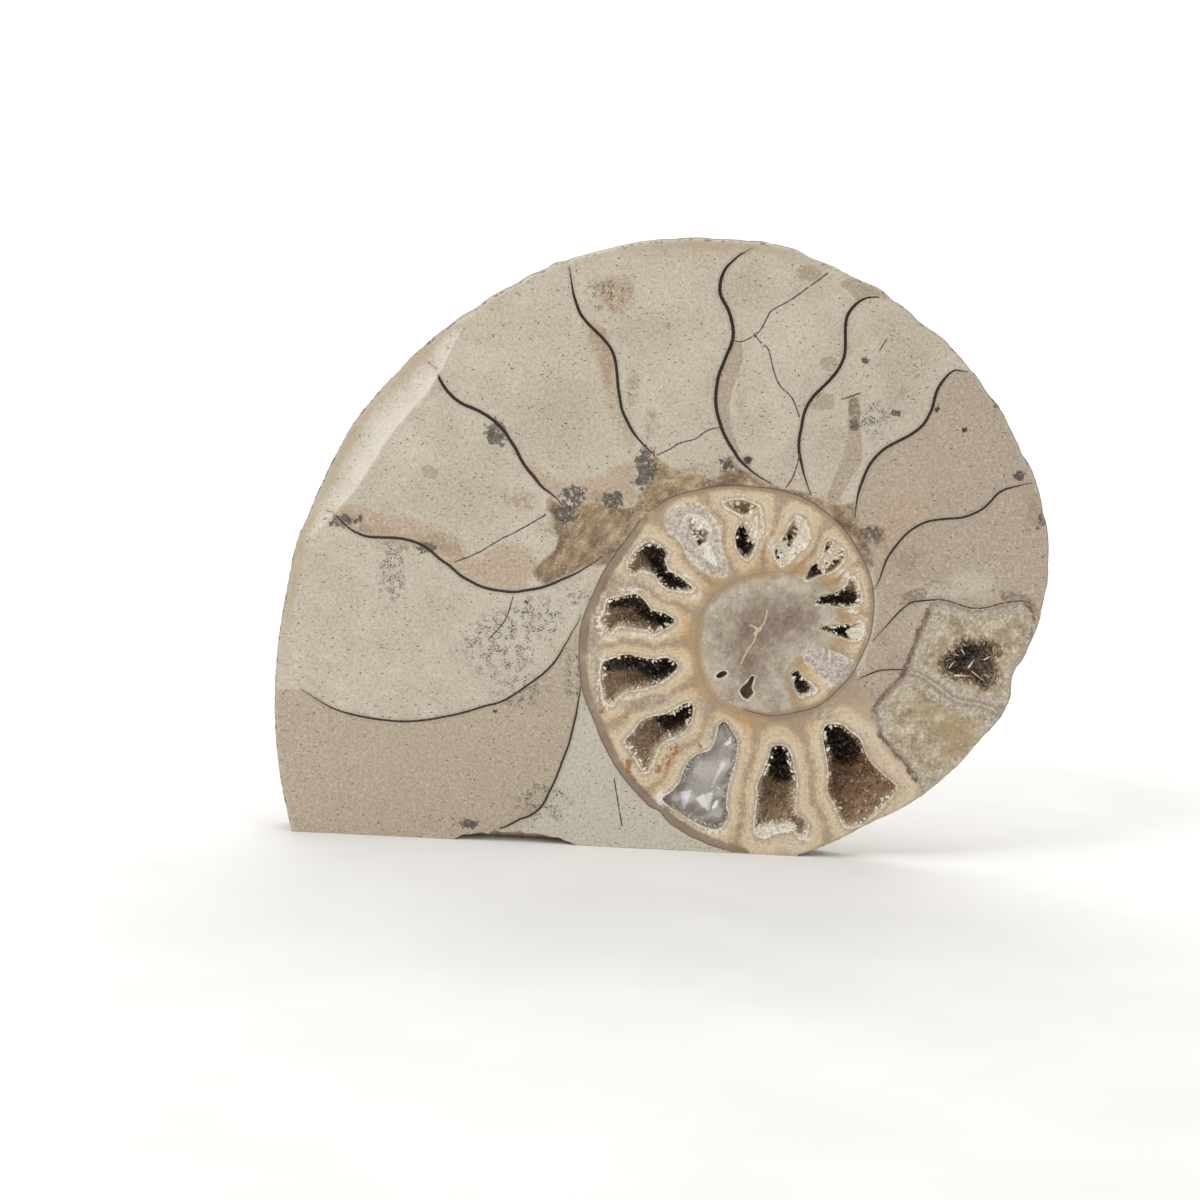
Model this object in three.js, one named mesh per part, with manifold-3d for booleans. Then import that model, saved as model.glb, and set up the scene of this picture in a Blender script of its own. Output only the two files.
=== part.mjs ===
// A sawn and polished half of an ammonite, standing on a flat sawn into its rim.
// Millimetres, +Z up. The polished face looks along -Y and the natural flank is behind it.
// The origin is under the middle of the piece, on the surface that it stands on.
import * as THREE from "three";
import { mergeVertices } from "three/addons/utils/BufferGeometryUtils.js";
import Module from "manifold-3d";

// The face is drawn on a sheet ruled in quarter millimetres, u to the right and v down.
const SHEET_MM = 0.25;
const SHEET_STRETCH = 1.01;
const BASE_RIGHT = [800, 859];
const BASE_SLOPE = 0.05;
const BASE_MIDDLE_U = 560;
const SPIRAL_CENTRE = [758, 625];

const FACE_Y = 0;
const BEVEL = 0.9;
const WIDE_BEVEL = 7;
const WIDE_BEVEL_AT = THREE.MathUtils.degToRad(152);
const WIDE_BEVEL_SPREAD = 0.32;
const BEVEL_SLOPE = 0.26;

// The shell is a logarithmic spiral. The outermost whorl runs one turn from where it is sawn off
// to where the sawn base meets its seam, and each whorl inside it is a turn further in.
const SEAM_RADIUS = 29.4;
const GROWTH = 0.156;
const TURN = 2 * Math.PI;
const OUTER_WHORL_START = THREE.MathUtils.degToRad(-100);

// Across a whorl, from its seam (0) to its outer edge (1), the flank swells behind an even wall.
// The swell and the ribs are shares of the whorl's outer radius.
const VENTER_WALL = 9;
const FLANK_SWELL = 0.15;
const FLANK_PROFILE = [
  [0, 0.02],
  [0.08, 0.62],
  [0.17, 0.95],
  [0.28, 1],
  [0.46, 0.92],
  [0.62, 0.9],
  [0.78, 0.82],
  [0.9, 0.64],
  [1, 0.12],
];
const SEAM_UNDERLAP = 0.88;
const UNDERLAP_DEPTH = 0.7;
const RIBS_PER_TURN = 38;
const RIB_HEIGHT = 0.009;
const RIB_BEND = 0.12;
const RIB_RISE = [0.1, 0.3];
const RIB_FALL = [0.85, 1];
const RIB_BACKMOST = 0.62;
const RIB_FADE = [22, 45];

// The plug in the middle of the coil, and its rings: share of its width, share of the wall's depth.
const PLUG_SIDES = 16;
const PLUG_WIDTH = 0.9;
const PLUG_RINGS = [
  [1, 0],
  [1, 0.9],
  [0.33, 1.1],
];

// Each whorl from the outermost inward: rays per turn.
const WHORL_RAYS = [3 * RIBS_PER_TURN, 2 * RIBS_PER_TURN, 24];
const STRAIGHT_RAYS = 8;
const FACET_MERGE = 0.1;

// The rim of the face, from the left end of the base over the top to its right end.
const RIM = [
  [288, 833], [278, 785], [273, 735], [273, 690], [277, 640], [284, 600], [292, 560], [302, 530],
  [318, 492], [336, 456], [355, 424], [380, 392], [410, 362], [450, 329], [497, 298], [532, 280],
  [560, 268], [600, 256], [640, 248], [690, 244], [745, 245], [780, 249], [803, 258], [845, 278],
  [874, 291], [889, 304], [912, 320], [938, 342], [968, 373], [990, 401], [1010, 435], [1031, 475],
  [1041, 505], [1048, 540], [1048, 572], [1040, 613], [1027, 642], [1022, 661], [1013, 673],
  [1013, 692], [1005, 715], [985, 740], [930, 787], [870, 827], [835, 845], [800, 859],
];

// The two small bare pits, and the hollows that crystals line. Each has its mouth on the face, how
// deep it goes, and where it is deepest. Large crystals stand in some: where a crystal's foot is,
// its half width and height, and how far it leans to the right and up.
const PITS = [
  {
    mouth: [
      [715, 672], [721, 668], [727, 670], [728, 676], [724, 681], [717, 680],
    ],
    depth: 2.8,
    deepest: [721, 674],
  },
  {
    mouth: [
      [752, 676], [756, 678], [753, 687], [750, 697], [746, 700], [741, 691], [747, 684],
    ],
    depth: 3.4,
    deepest: [748, 689],
  },
];
const HOLLOWS = [
  {
    mouth: [
      [790, 669], [798, 668], [804, 677], [812, 683], [819, 689], [810, 696], [799, 699],
      [795, 690], [791, 679],
    ],
    depth: 5,
    deepest: [799, 682],
  },
  {
    mouth: [
      [817, 628], [827, 625], [838, 626], [850, 622], [861, 625], [863, 634], [858, 641],
      [845, 641], [832, 634],
    ],
    depth: 6,
    deepest: [840, 632],
  },
  {
    mouth: [
      [814, 606], [821, 597], [832, 592], [844, 589], [847, 581], [854, 578], [859, 585],
      [860, 602], [846, 607], [832, 603], [821, 606],
    ],
    depth: 6.5,
    deepest: [846, 597],
  },
  {
    mouth: [
      [803, 582], [808, 569], [820, 558], [826, 545], [833, 541], [845, 555], [841, 565],
      [830, 575], [813, 581],
    ],
    depth: 5.5,
    deepest: [829, 562],
  },
  {
    mouth: [
      [792, 522], [800, 518], [807, 522], [810, 532], [806, 545], [796, 550], [788, 563],
      [780, 567], [773, 556], [773, 546], [784, 537],
    ],
    depth: 5,
    deepest: [788, 546],
    crystals: [
      { foot: [799, 527], halfWidth: 1.3, height: 3.2, lean: [0.3, -0.4] },
      { foot: [780, 552], halfWidth: 1.4, height: 3.4, lean: [0.4, 0.3] },
      { foot: [792, 541], halfWidth: 1.1, height: 3, lean: [-0.3, 0.4] },
    ],
  },
  {
    mouth: [
      [723, 504], [735, 500], [748, 501], [758, 507], [763, 522], [760, 538], [755, 550],
      [747, 560], [738, 553], [734, 538], [740, 523], [732, 512],
    ],
    depth: 6.5,
    deepest: [750, 524],
    crystals: [
      { foot: [754, 528], halfWidth: 1.6, height: 4.6, lean: [-0.5, 0.1] },
      { foot: [745, 549], halfWidth: 1.9, height: 4, lean: [-0.2, 0.5] },
      { foot: [739, 508], halfWidth: 1.3, height: 3.4, lean: [0.4, -0.3] },
    ],
  },
  {
    mouth: [
      [670, 522], [681, 513], [697, 512], [710, 522], [713, 537], [715, 555], [713, 566],
      [700, 561], [692, 548], [680, 536],
    ],
    depth: 5,
    deepest: [699, 540],
    crystals: [
      { foot: [705, 552], halfWidth: 1.5, height: 3, lean: [-0.4, 0.3] },
      { foot: [684, 524], halfWidth: 1.6, height: 3.2, lean: [0.5, -0.3] },
    ],
  },
  {
    mouth: [
      [628, 566], [634, 553], [645, 544], [657, 543], [668, 552], [671, 568], [684, 577],
      [696, 589], [686, 593], [668, 590], [656, 580], [645, 574], [634, 575],
    ],
    depth: 8.5,
    deepest: [657, 569],
    crystals: [
      { foot: [669, 562], halfWidth: 1.6, height: 6, lean: [-0.4, 0.2] },
    ],
  },
  {
    mouth: [
      [600, 620], [607, 604], [620, 597], [636, 595], [648, 605], [663, 612], [676, 620],
      [667, 630], [652, 634], [640, 627], [624, 626], [610, 634],
    ],
    depth: 9.5,
    deepest: [643, 610],
  },
  {
    mouth: [
      [601, 672], [611, 659], [626, 654], [645, 659], [665, 657], [678, 664], [674, 675],
      [657, 687], [637, 690], [622, 697], [611, 706], [603, 697],
    ],
    depth: 10,
    deepest: [647, 671],
  },
  {
    mouth: [
      [628, 741], [637, 726], [650, 717], [668, 714], [682, 706], [692, 703], [692, 721],
      [683, 733], [665, 742], [657, 754], [653, 770], [645, 775], [636, 765],
    ],
    depth: 10,
    deepest: [657, 730],
  },
  {
    mouth: [
      [720, 728], [731, 729], [738, 745], [734, 765], [727, 785], [726, 805], [728, 822],
      [713, 830], [692, 821], [668, 801], [683, 778], [694, 758], [711, 746],
    ],
    depth: 6,
    deepest: [704, 792],
    crystals: [
      { foot: [725, 742], halfWidth: 1.8, height: 4, lean: [0.1, -0.3] },
      { foot: [703, 770], halfWidth: 2.9, height: 4.2, lean: [0.2, -0.2] },
      { foot: [722, 776], halfWidth: 2.2, height: 4.4, lean: [-0.3, 0.1] },
      { foot: [690, 800], halfWidth: 2.7, height: 4.6, lean: [0.3, 0.2] },
      { foot: [712, 806], halfWidth: 2.9, height: 4.8, lean: [-0.2, 0.3] },
      { foot: [701, 817], halfWidth: 1.9, height: 3.6, lean: [0.1, 0.4] },
    ],
  },
  {
    mouth: [
      [774, 747], [788, 747], [796, 764], [799, 785], [798, 810], [810, 825], [808, 838],
      [795, 841], [775, 841], [758, 838], [756, 818], [760, 792], [768, 765],
    ],
    depth: 11,
    deepest: [775, 796],
  },
  {
    mouth: [
      [821, 731], [833, 725], [850, 732], [864, 748], [876, 766], [902, 787], [893, 802],
      [872, 818], [853, 826], [840, 812], [830, 793], [829, 765], [824, 745],
    ],
    depth: 12,
    deepest: [849, 765],
  },
  {
    mouth: [
      [944, 656], [956, 648], [970, 641], [986, 643], [997, 652], [999, 666], [990, 680],
      [977, 688], [960, 684], [948, 672],
    ],
    depth: 6,
    deepest: [970, 664],
    crystals: [
      { foot: [955, 657], halfWidth: 1.2, height: 4.4, lean: [0.5, -0.4] },
      { foot: [964, 651], halfWidth: 1, height: 4.2, lean: [0.2, -0.6] },
      { foot: [981, 650], halfWidth: 1.2, height: 4.6, lean: [-0.3, -0.5] },
      { foot: [991, 664], halfWidth: 1.2, height: 4.4, lean: [-0.7, 0.1] },
      { foot: [981, 678], halfWidth: 1.2, height: 4.6, lean: [-0.4, 0.6] },
      { foot: [965, 679], halfWidth: 1.1, height: 4.4, lean: [0.2, 0.7] },
      { foot: [951, 669], halfWidth: 1, height: 4, lean: [0.7, 0.2] },
      { foot: [972, 665], halfWidth: 1.2, height: 3.6, lean: [0.3, 0.3] },
    ],
  },
];
const CRYSTAL_SIDES = 6;
const CRYSTAL_ROOT = 0.3;
const CRYSTAL_SHOULDER = 0.62;
const CRYSTAL_TIP = 0.16;

// A hollow narrows in rings toward its deepest place: share of its depth, share of its width.
const HOLLOW_RINGS = [
  [0.42, 0.95],
  [0.82, 0.72],
  [1, 0.36],
];
const MOUTH_MARGIN = 2;
const MOUTH_STEP = 3.6;
const FEWEST_CORNERS = 8;
const CRUST_GAP = 0.32;
const CRUST_SHARE = 0.23;
const CRUST_THICKEST = 1.1;
const CRUST_RELIEF = 0.4;

// A flake is missing from the front edge of the base: its span on the sheet, its height, the rise
// of its arch along the span, and how high the arch is at each depth.
const CHIP_FROM_U = 448;
const CHIP_TO_U = 576;
const CHIP_HEIGHT = 2.9;
const CHIP_PROFILE = [[0, -1], [0.02, 0.3], [0.2, 0.85], [0.5, 1], [0.8, 0.6], [0.98, 0.2], [1, -1]];
const CHIP_ARCHES = [[-2, 1], [1, 0.95], [7, 0.1]];

const STONE = new THREE.MeshStandardMaterial({ color: 0xbdb09c, roughness: 0.35, metalness: 0 });
const CALCITE = new THREE.MeshStandardMaterial({ color: 0xd9cdb4, roughness: 0.3, metalness: 0 });

const wasm = await Module();
wasm.setup();

// From the sheet to the face, in the part's own X and Z.
const TILT = Math.atan(BASE_SLOPE);
const BASE_MIDDLE = [BASE_MIDDLE_U, BASE_RIGHT[1] - BASE_SLOPE * (BASE_RIGHT[0] - BASE_MIDDLE_U)];

function onFace([u, v]) {
  const across = (u - BASE_MIDDLE[0]) * SHEET_MM;
  const up = (BASE_MIDDLE[1] - v) * SHEET_MM * SHEET_STRETCH;
  return new THREE.Vector2(
    across * Math.cos(TILT) - up * Math.sin(TILT),
    across * Math.sin(TILT) + up * Math.cos(TILT),
  );
}

const CENTRE = onFace(SPIRAL_CENTRE);

// Straight lines between knots [at, value].
function alongKnots(knots, at) {
  const next = knots.findIndex(([knotAt]) => knotAt >= at);
  if (next < 0) return knots[knots.length - 1][1];
  if (next === 0) return knots[0][1];
  const [a, va] = knots[next - 1];
  const [b, vb] = knots[next];
  return va + ((vb - va) * (at - a)) / (b - a);
}

// A repeatable share from 0 to 1 for each corner of each level of a crust.
function scatter(crust, corner, level) {
  const wave = Math.sin(crust * 269.5 + corner * 127.1 + level * 311.7) * 43758.5;
  return wave - Math.floor(wave);
}

// The rim as angle and radius about the centre of the spiral.
const RIM_KNOTS = new THREE.SplineCurve(RIM.map(onFace))
  .getPoints(RIM.length * 6)
  .map((p) => {
    const angle = Math.atan2(p.y - CENTRE.y, p.x - CENTRE.x);
    return [angle < OUTER_WHORL_START ? angle + TURN : angle, p.distanceTo(CENTRE)];
  })
  .sort((a, b) => a[0] - b[0]);

const seamRadius = (angle) => SEAM_RADIUS * Math.exp(GROWTH * angle);

// A point at an angle and radius about the spiral's centre, some way behind the face.
const onRay = (angle, radius, depth) => [
  CENTRE.x + radius * Math.cos(angle),
  FACE_Y + depth,
  CENTRE.y + radius * Math.sin(angle),
];

// A rib leans back most at mid flank and swings forward again toward the seam and the outer edge.
function ribBend(across) {
  const offMiddle = (across - RIB_BACKMOST) / (across > RIB_BACKMOST ? 1 - RIB_BACKMOST : RIB_BACKMOST);
  return -RIB_BEND * (1 - offMiddle ** 2);
}

// How far the flank stands behind the face at one place across a whorl.
function flankDepth(across, swell, angle) {
  const outerRadius = seamRadius(angle + TURN);
  const ribShare =
    THREE.MathUtils.smoothstep(across, ...RIB_RISE) *
    (1 - THREE.MathUtils.smoothstep(across, ...RIB_FALL)) *
    THREE.MathUtils.smoothstep(outerRadius, ...RIB_FADE);
  const ridge = Math.cos((angle - OUTER_WHORL_START) * RIBS_PER_TURN);
  return VENTER_WALL + outerRadius * (FLANK_SWELL * swell + RIB_HEIGHT * ribShare * ridge);
}

// The outer edge of the whorls: the rim from where it is sawn off, and the next seam further in.
function outerEdge(angle) {
  if (angle <= OUTER_WHORL_START) return { outline: seamRadius(angle + TURN), bevel: 0 };
  const wide = Math.exp(-(((angle - WIDE_BEVEL_AT) / WIDE_BEVEL_SPREAD) ** 2));
  return { outline: alongKnots(RIM_KNOTS, angle), bevel: BEVEL + WIDE_BEVEL * wide };
}

// A closed solid from positions and triangles, whichever way the triangles were wound.
function solid(points, triangles) {
  const flat = new THREE.BufferGeometry();
  flat.setAttribute("position", new THREE.Float32BufferAttribute(points.flat(), 3));
  flat.setIndex(triangles.flat());
  const merged = mergeVertices(flat, 1e-4);
  const vertProperties = merged.attributes.position.array;
  const corners = Array.from(merged.index.array);
  const make = (triVerts) => new wasm.Manifold(new wasm.Mesh({ numProp: 3, vertProperties, triVerts }));
  const made = make(Uint32Array.from(corners));
  return made.volume() > 0 ? made : make(Uint32Array.from(corners.toReversed()));
}

// Rings of equal count, joined one to the next, with a lid on each end. A lid is made on the flat
// picture of its ring.
const seenFromFront = ([x, , z]) => new THREE.Vector2(x, z);
const seenAlongCoil = ([x, y, z]) => new THREE.Vector2(Math.hypot(x - CENTRE.x, z - CENTRE.y), y);

function loft(rings, flat = seenFromFront) {
  const turned = THREE.ShapeUtils.area(rings[0].map(flat)) < 0;
  const wound = turned ? rings.map((ring) => [...ring].reverse()) : rings;
  const count = wound[0].length;
  const last = (wound.length - 1) * count;
  const triangles = [];
  for (let start = 0; start < last; start += count) {
    for (let i = 0; i < count; i++) {
      const [a, b] = [start + i, start + ((i + 1) % count)];
      triangles.push([a, b, b + count], [a, b + count, a + count]);
    }
  }
  const lid = (ring) => THREE.ShapeUtils.triangulateShape(ring.map(flat), []);
  lid(wound[0]).forEach(([a, b, c]) => triangles.push([a, c, b]));
  lid(wound[wound.length - 1]).forEach(([a, b, c]) => triangles.push([last + a, last + b, last + c]));
  return solid(wound.flat(), triangles);
}

// A closed outline moved inward by one distance.
function inset(outline, distance) {
  const turn = THREE.ShapeUtils.area(outline) > 0 ? 1 : -1;
  return outline.map((p, i) => {
    const before = outline[(i + outline.length - 1) % outline.length];
    const after = outline[(i + 1) % outline.length];
    const along = after.clone().sub(before).normalize();
    return p.clone().addScaledVector(new THREE.Vector2(-turn * along.y, turn * along.x), distance);
  });
}

// One turn of the half shell. Its section runs out along the face, over the bevel, back along the
// wall and in over the flank, and ends under the whorl inside it. Its ribs straighten at both ends,
// where it meets the next turn.
function whorl(rays, inward) {
  const section = (_, i) => {
    const angle = OUTER_WHORL_START + (i / rays - inward) * TURN;
    const seam = seamRadius(angle);
    const { outline, bevel } = outerEdge(angle);
    const bend = Math.min(1, i / STRAIGHT_RAYS, (rays - i) / STRAIGHT_RAYS);
    const flank = FLANK_PROFILE.toReversed().map(([across, swell]) => {
      const radius = seam * (outline / seam) ** across;
      return onRay(angle + bend * ribBend(across), radius, flankDepth(across, swell, angle));
    });
    return [
      onRay(angle, seam * SEAM_UNDERLAP, 0),
      onRay(angle, outline - bevel, 0),
      onRay(angle, outline, Math.max(BEVEL, bevel * BEVEL_SLOPE)),
      ...flank,
      onRay(angle, seam * SEAM_UNDERLAP, VENTER_WALL * UNDERLAP_DEPTH),
    ];
  };
  return loft(Array.from({ length: rays + 1 }, section), seenAlongCoil);
}

// The innermost whorls, too small to tell apart behind the face, are one low plug.
function plug() {
  const edge = PLUG_WIDTH * seamRadius(OUTER_WHORL_START - (WHORL_RAYS.length - 2) * TURN);
  const ring = ([width, depth]) =>
    Array.from({ length: PLUG_SIDES }, (_, i) =>
      onRay((i / PLUG_SIDES) * TURN, edge * width, VENTER_WALL * depth),
    );
  return loft(PLUG_RINGS.map(ring));
}

// Everything under the sawn base.
function belowBase() {
  const reach = seamRadius(OUTER_WHORL_START + 2 * TURN);
  const corners = [[-reach, -reach], [reach, -reach], [reach, 0], [-reach, 0]];
  return loft([-MOUTH_MARGIN, reach].map((y) => corners.map(([x, z]) => [x, FACE_Y + y, z])));
}

// The whole half, before its hollows.
function ammoniteHalf() {
  const unsawn = WHORL_RAYS.map(whorl).reduce((joined, turn) => joined.add(turn), plug());
  return unsawn.subtract(belowBase()).subtract(baseChip()).asOriginal().simplify(FACET_MERGE);
}

// A hollow's mouth as a closed outline on the face, with corners about MOUTH_STEP apart.
function mouthOutline(picks) {
  const curve = new THREE.CatmullRomCurve3(
    picks.map((pick) => new THREE.Vector3(...onFace(pick).toArray(), 0)), true, "centripetal",
  );
  const corners = Math.max(FEWEST_CORNERS, Math.round(curve.getLength() / MOUTH_STEP));
  return curve.getSpacedPoints(corners).slice(0, corners).map((p) => new THREE.Vector2(p.x, p.y));
}

// The space in a hollow, from before the face or from the face itself down to its deepest place.
// It may stand in from the hollow's own wall by a distance, be less deep, and be narrowed by a
// share of its own at each corner and level.
function hollowSpace(hollow, { before = 0, standIn = 0, lessDeep = 0, narrowing = () => 0 }) {
  const { mouth, deepest, depth } = hollow;
  const outline = inset(mouthOutline(mouth), standIn);
  const foot = onFace(deepest);
  const ringAt = (y, widthShare, level) =>
    outline.map((p, i) => {
      const place = foot.clone().lerp(p, widthShare * (1 - narrowing(i, level)));
      return [place.x, y, place.y];
    });
  return loft([
    ...(before > 0 ? [ringAt(FACE_Y - before, 1, 0)] : []),
    ringAt(FACE_Y, 1, 0),
    ...HOLLOW_RINGS.map(([depthShare, widthShare], k) =>
      ringAt(FACE_Y + depthShare * depth - (lessDeep * (k + 1)) / HOLLOW_RINGS.length, widthShare, k + 1),
    ),
  ]);
}

// A pointed six-sided crystal that stands out of a hollow's floor toward the mouth.
function crystal({ foot, halfWidth, height, lean }, floorDepth) {
  const { x, y: z } = onFace(foot);
  const axis = new THREE.Vector3(lean[0], -1, lean[1]).normalize().multiplyScalar(height);
  const ring = (share, width) =>
    Array.from({ length: CRYSTAL_SIDES }, (_, i) => {
      const angle = (i / CRYSTAL_SIDES) * TURN + lean[0];
      return [
        x + axis.x * share + Math.cos(angle) * halfWidth * width,
        FACE_Y + floorDepth + axis.y * share,
        z + axis.z * share + Math.sin(angle) * halfWidth * width,
      ];
    });
  return loft([ring(-CRYSTAL_ROOT, 1), ring(CRYSTAL_SHOULDER, 1), ring(1, CRYSTAL_TIP)]);
}

// The crust of small crystals that lines a hollow, with its large crystals grown into it.
function crystalCrust(hollow, seed) {
  const breadth = Math.sqrt(Math.abs(THREE.ShapeUtils.area(mouthOutline(hollow.mouth))) / Math.PI);
  const thickness = Math.min(CRUST_SHARE * breadth, CRUST_THICKEST);
  const uneven = (i, level) => 1 + CRUST_RELIEF * (2 * scatter(seed, i, level) - 1);
  const space = hollowSpace(hollow, { standIn: CRUST_GAP, lessDeep: CRUST_GAP });
  const open = hollowSpace(hollow, {
    before: MOUTH_MARGIN,
    standIn: CRUST_GAP,
    lessDeep: CRUST_GAP + thickness,
    narrowing: (i, level) => (thickness / breadth) * uneven(i, level),
  });
  const crystals = hollow.crystals ?? [];
  return crystals
    .reduce(
      (crust, large) => crust.add(crystal(large, hollow.depth - thickness).intersect(space)),
      space.subtract(open),
    )
    .asOriginal()
    .simplify(FACET_MERGE);
}

// The flake missing from the front edge of the base, shallower toward the back.
function baseChip() {
  const [from, to] = [CHIP_FROM_U, CHIP_TO_U].map((u) => onFace([u, BASE_MIDDLE[1]]).x);
  const arch = ([depth, height]) =>
    CHIP_PROFILE.map(([share, rise]) => {
      const z = rise < 0 ? rise : rise * height * CHIP_HEIGHT;
      return [THREE.MathUtils.lerp(from, to, share), FACE_Y + depth, z];
    });
  return loft(CHIP_ARCHES.map(arch));
}

function named(name, made, material) {
  const { vertProperties, triVerts } = made.getMesh();
  const geometry = new THREE.BufferGeometry();
  geometry.setAttribute("position", new THREE.BufferAttribute(vertProperties, 3));
  geometry.setIndex(new THREE.BufferAttribute(triVerts, 1));
  geometry.computeVertexNormals();
  const mesh = new THREE.Mesh(geometry, material);
  mesh.name = name;
  return mesh;
}

const half = [...PITS, ...HOLLOWS].reduce(
  (stone, hollow) => stone.subtract(hollowSpace(hollow, { before: MOUTH_MARGIN })),
  ammoniteHalf(),
);
const ammonite = new THREE.Group();
ammonite.add(named("ammonite_half", half, STONE));
HOLLOWS.forEach((hollow, i) => {
  const number = String(i + 1).padStart(2, "0");
  ammonite.add(named(`crystal_crust_${number}`, crystalCrust(hollow, i + 1), CALCITE));
});

// The origin goes under the middle of the whole piece, on the surface that it stands on.
const extent = new THREE.Box3().setFromObject(ammonite);
const middle = extent.getCenter(new THREE.Vector3());
ammonite.position.set(-middle.x, -middle.y, -extent.min.z);

export default ammonite;
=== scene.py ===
# %% [markdown]
# # A sawn and polished ammonite half
#
# The real object is one half of an ammonite that was sawn through the middle. The sawn side is
# ground flat and polished, so that it shows the chambers. The other side is the ribbed shell as it
# came out of the ground. A flat is sawn into the rim so that the piece stands up.
# We start from the imported model, whose box we keep: every new piece is held inside it.

# %% Load the imported model
import math

import bpy
import numpy as np
from mathutils import Matrix, Vector, noise
from mathutils.geometry import delaunay_2d_cdt
from mathutils.kdtree import KDTree


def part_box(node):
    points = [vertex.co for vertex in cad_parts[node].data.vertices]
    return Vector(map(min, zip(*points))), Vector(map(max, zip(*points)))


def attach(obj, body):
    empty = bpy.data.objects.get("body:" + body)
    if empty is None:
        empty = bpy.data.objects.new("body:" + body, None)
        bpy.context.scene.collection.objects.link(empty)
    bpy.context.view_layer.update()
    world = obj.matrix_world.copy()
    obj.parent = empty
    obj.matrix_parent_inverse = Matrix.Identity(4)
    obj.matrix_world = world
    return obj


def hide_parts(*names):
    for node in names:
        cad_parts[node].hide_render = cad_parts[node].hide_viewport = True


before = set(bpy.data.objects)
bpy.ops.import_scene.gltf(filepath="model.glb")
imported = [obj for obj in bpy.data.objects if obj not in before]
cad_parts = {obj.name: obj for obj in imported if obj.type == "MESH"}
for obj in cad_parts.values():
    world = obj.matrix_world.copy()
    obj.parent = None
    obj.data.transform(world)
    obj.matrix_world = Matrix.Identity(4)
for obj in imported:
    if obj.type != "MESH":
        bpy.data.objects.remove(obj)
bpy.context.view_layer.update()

bpy.context.scene.view_settings.view_transform = "Standard"
stone_low, stone_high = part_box("ammonite_half")

# %% [markdown]
# ## The sheet that the face is drawn on
#
# Everything on the polished face was marked on a sheet ruled in quarter millimetres, with u
# to the right and v down. One function turns such marks into millimetres on the face, x to the
# right and z up. Plain numbers in millimetres are easier to think about than metres, so lengths
# stay in millimetres until a mesh is made. The sheet leans a little because the piece does.

# %% From the sheet to the face
MM = 0.001
SHEET_MM = 0.25
SHEET_STRETCH = 1.01
BASE_SLOPE = 0.05
BASE_MIDDLE = (560, 847)
MIDDLE_X = 22.3815
TILT = math.atan(BASE_SLOPE)
TURN = 2 * math.pi
CURVE_STEPS = 8


def on_face(marks):
    """Marks on the sheet, as x and z on the face in millimetres."""
    u, v = np.asarray(marks, float).T
    across = (u - BASE_MIDDLE[0]) * SHEET_MM
    up = (BASE_MIDDLE[1] - v) * SHEET_MM * SHEET_STRETCH
    x = across * math.cos(TILT) - up * math.sin(TILT) - MIDDLE_X
    z = across * math.sin(TILT) + up * math.cos(TILT)
    return np.column_stack([x, z])


def spaced(line, step, closed=False):
    """The same line with its points evenly spaced, about one step apart."""
    if closed:
        line = np.vstack([line, line[:1]])
    lengths = np.hypot(*np.diff(line, axis=0).T)
    along = np.concatenate([[0], np.cumsum(lengths)])
    count = max(3 if closed else 1, round(along[-1] / step))
    at = np.linspace(0, along[-1], count + 1)
    if closed:
        at = at[:-1]
    return np.column_stack([np.interp(at, along, line[:, k]) for k in (0, 1)])


def smooth_line(marks, step, closed=False):
    """A smooth line through marks on the sheet, in millimetres on the face."""
    knots = on_face(marks)
    if closed:
        ring = np.vstack([knots[-1:], knots, knots[:2]])
    else:
        ring = np.vstack([2 * knots[:1] - knots[1:2], knots, 2 * knots[-1:] - knots[-2:-1]])
    t = np.linspace(0, 1, CURVE_STEPS, endpoint=False)[:, None]
    runs = []
    for a, b, c, d in zip(ring, ring[1:], ring[2:], ring[3:]):
        bend = (2 * a - 5 * b + 4 * c - d) * t**2 + (3 * b - a - 3 * c + d) * t**3
        runs.append((2 * b + (c - a) * t + bend) / 2)
    if not closed:
        runs.append(knots[-1:])
    return spaced(np.vstack(runs), step, closed)


print("middle of the sheet on the face:", on_face([(600, 600)])[0].round(2), "mm")

# %% [markdown]
# ## The outline of the half
#
# The rim is the worn outer edge of the shell, so it is a little uneven. It was marked from the
# lower right round over the top to the lower left. The base is one straight saw cut, except where a
# flake broke off its front edge.

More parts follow.
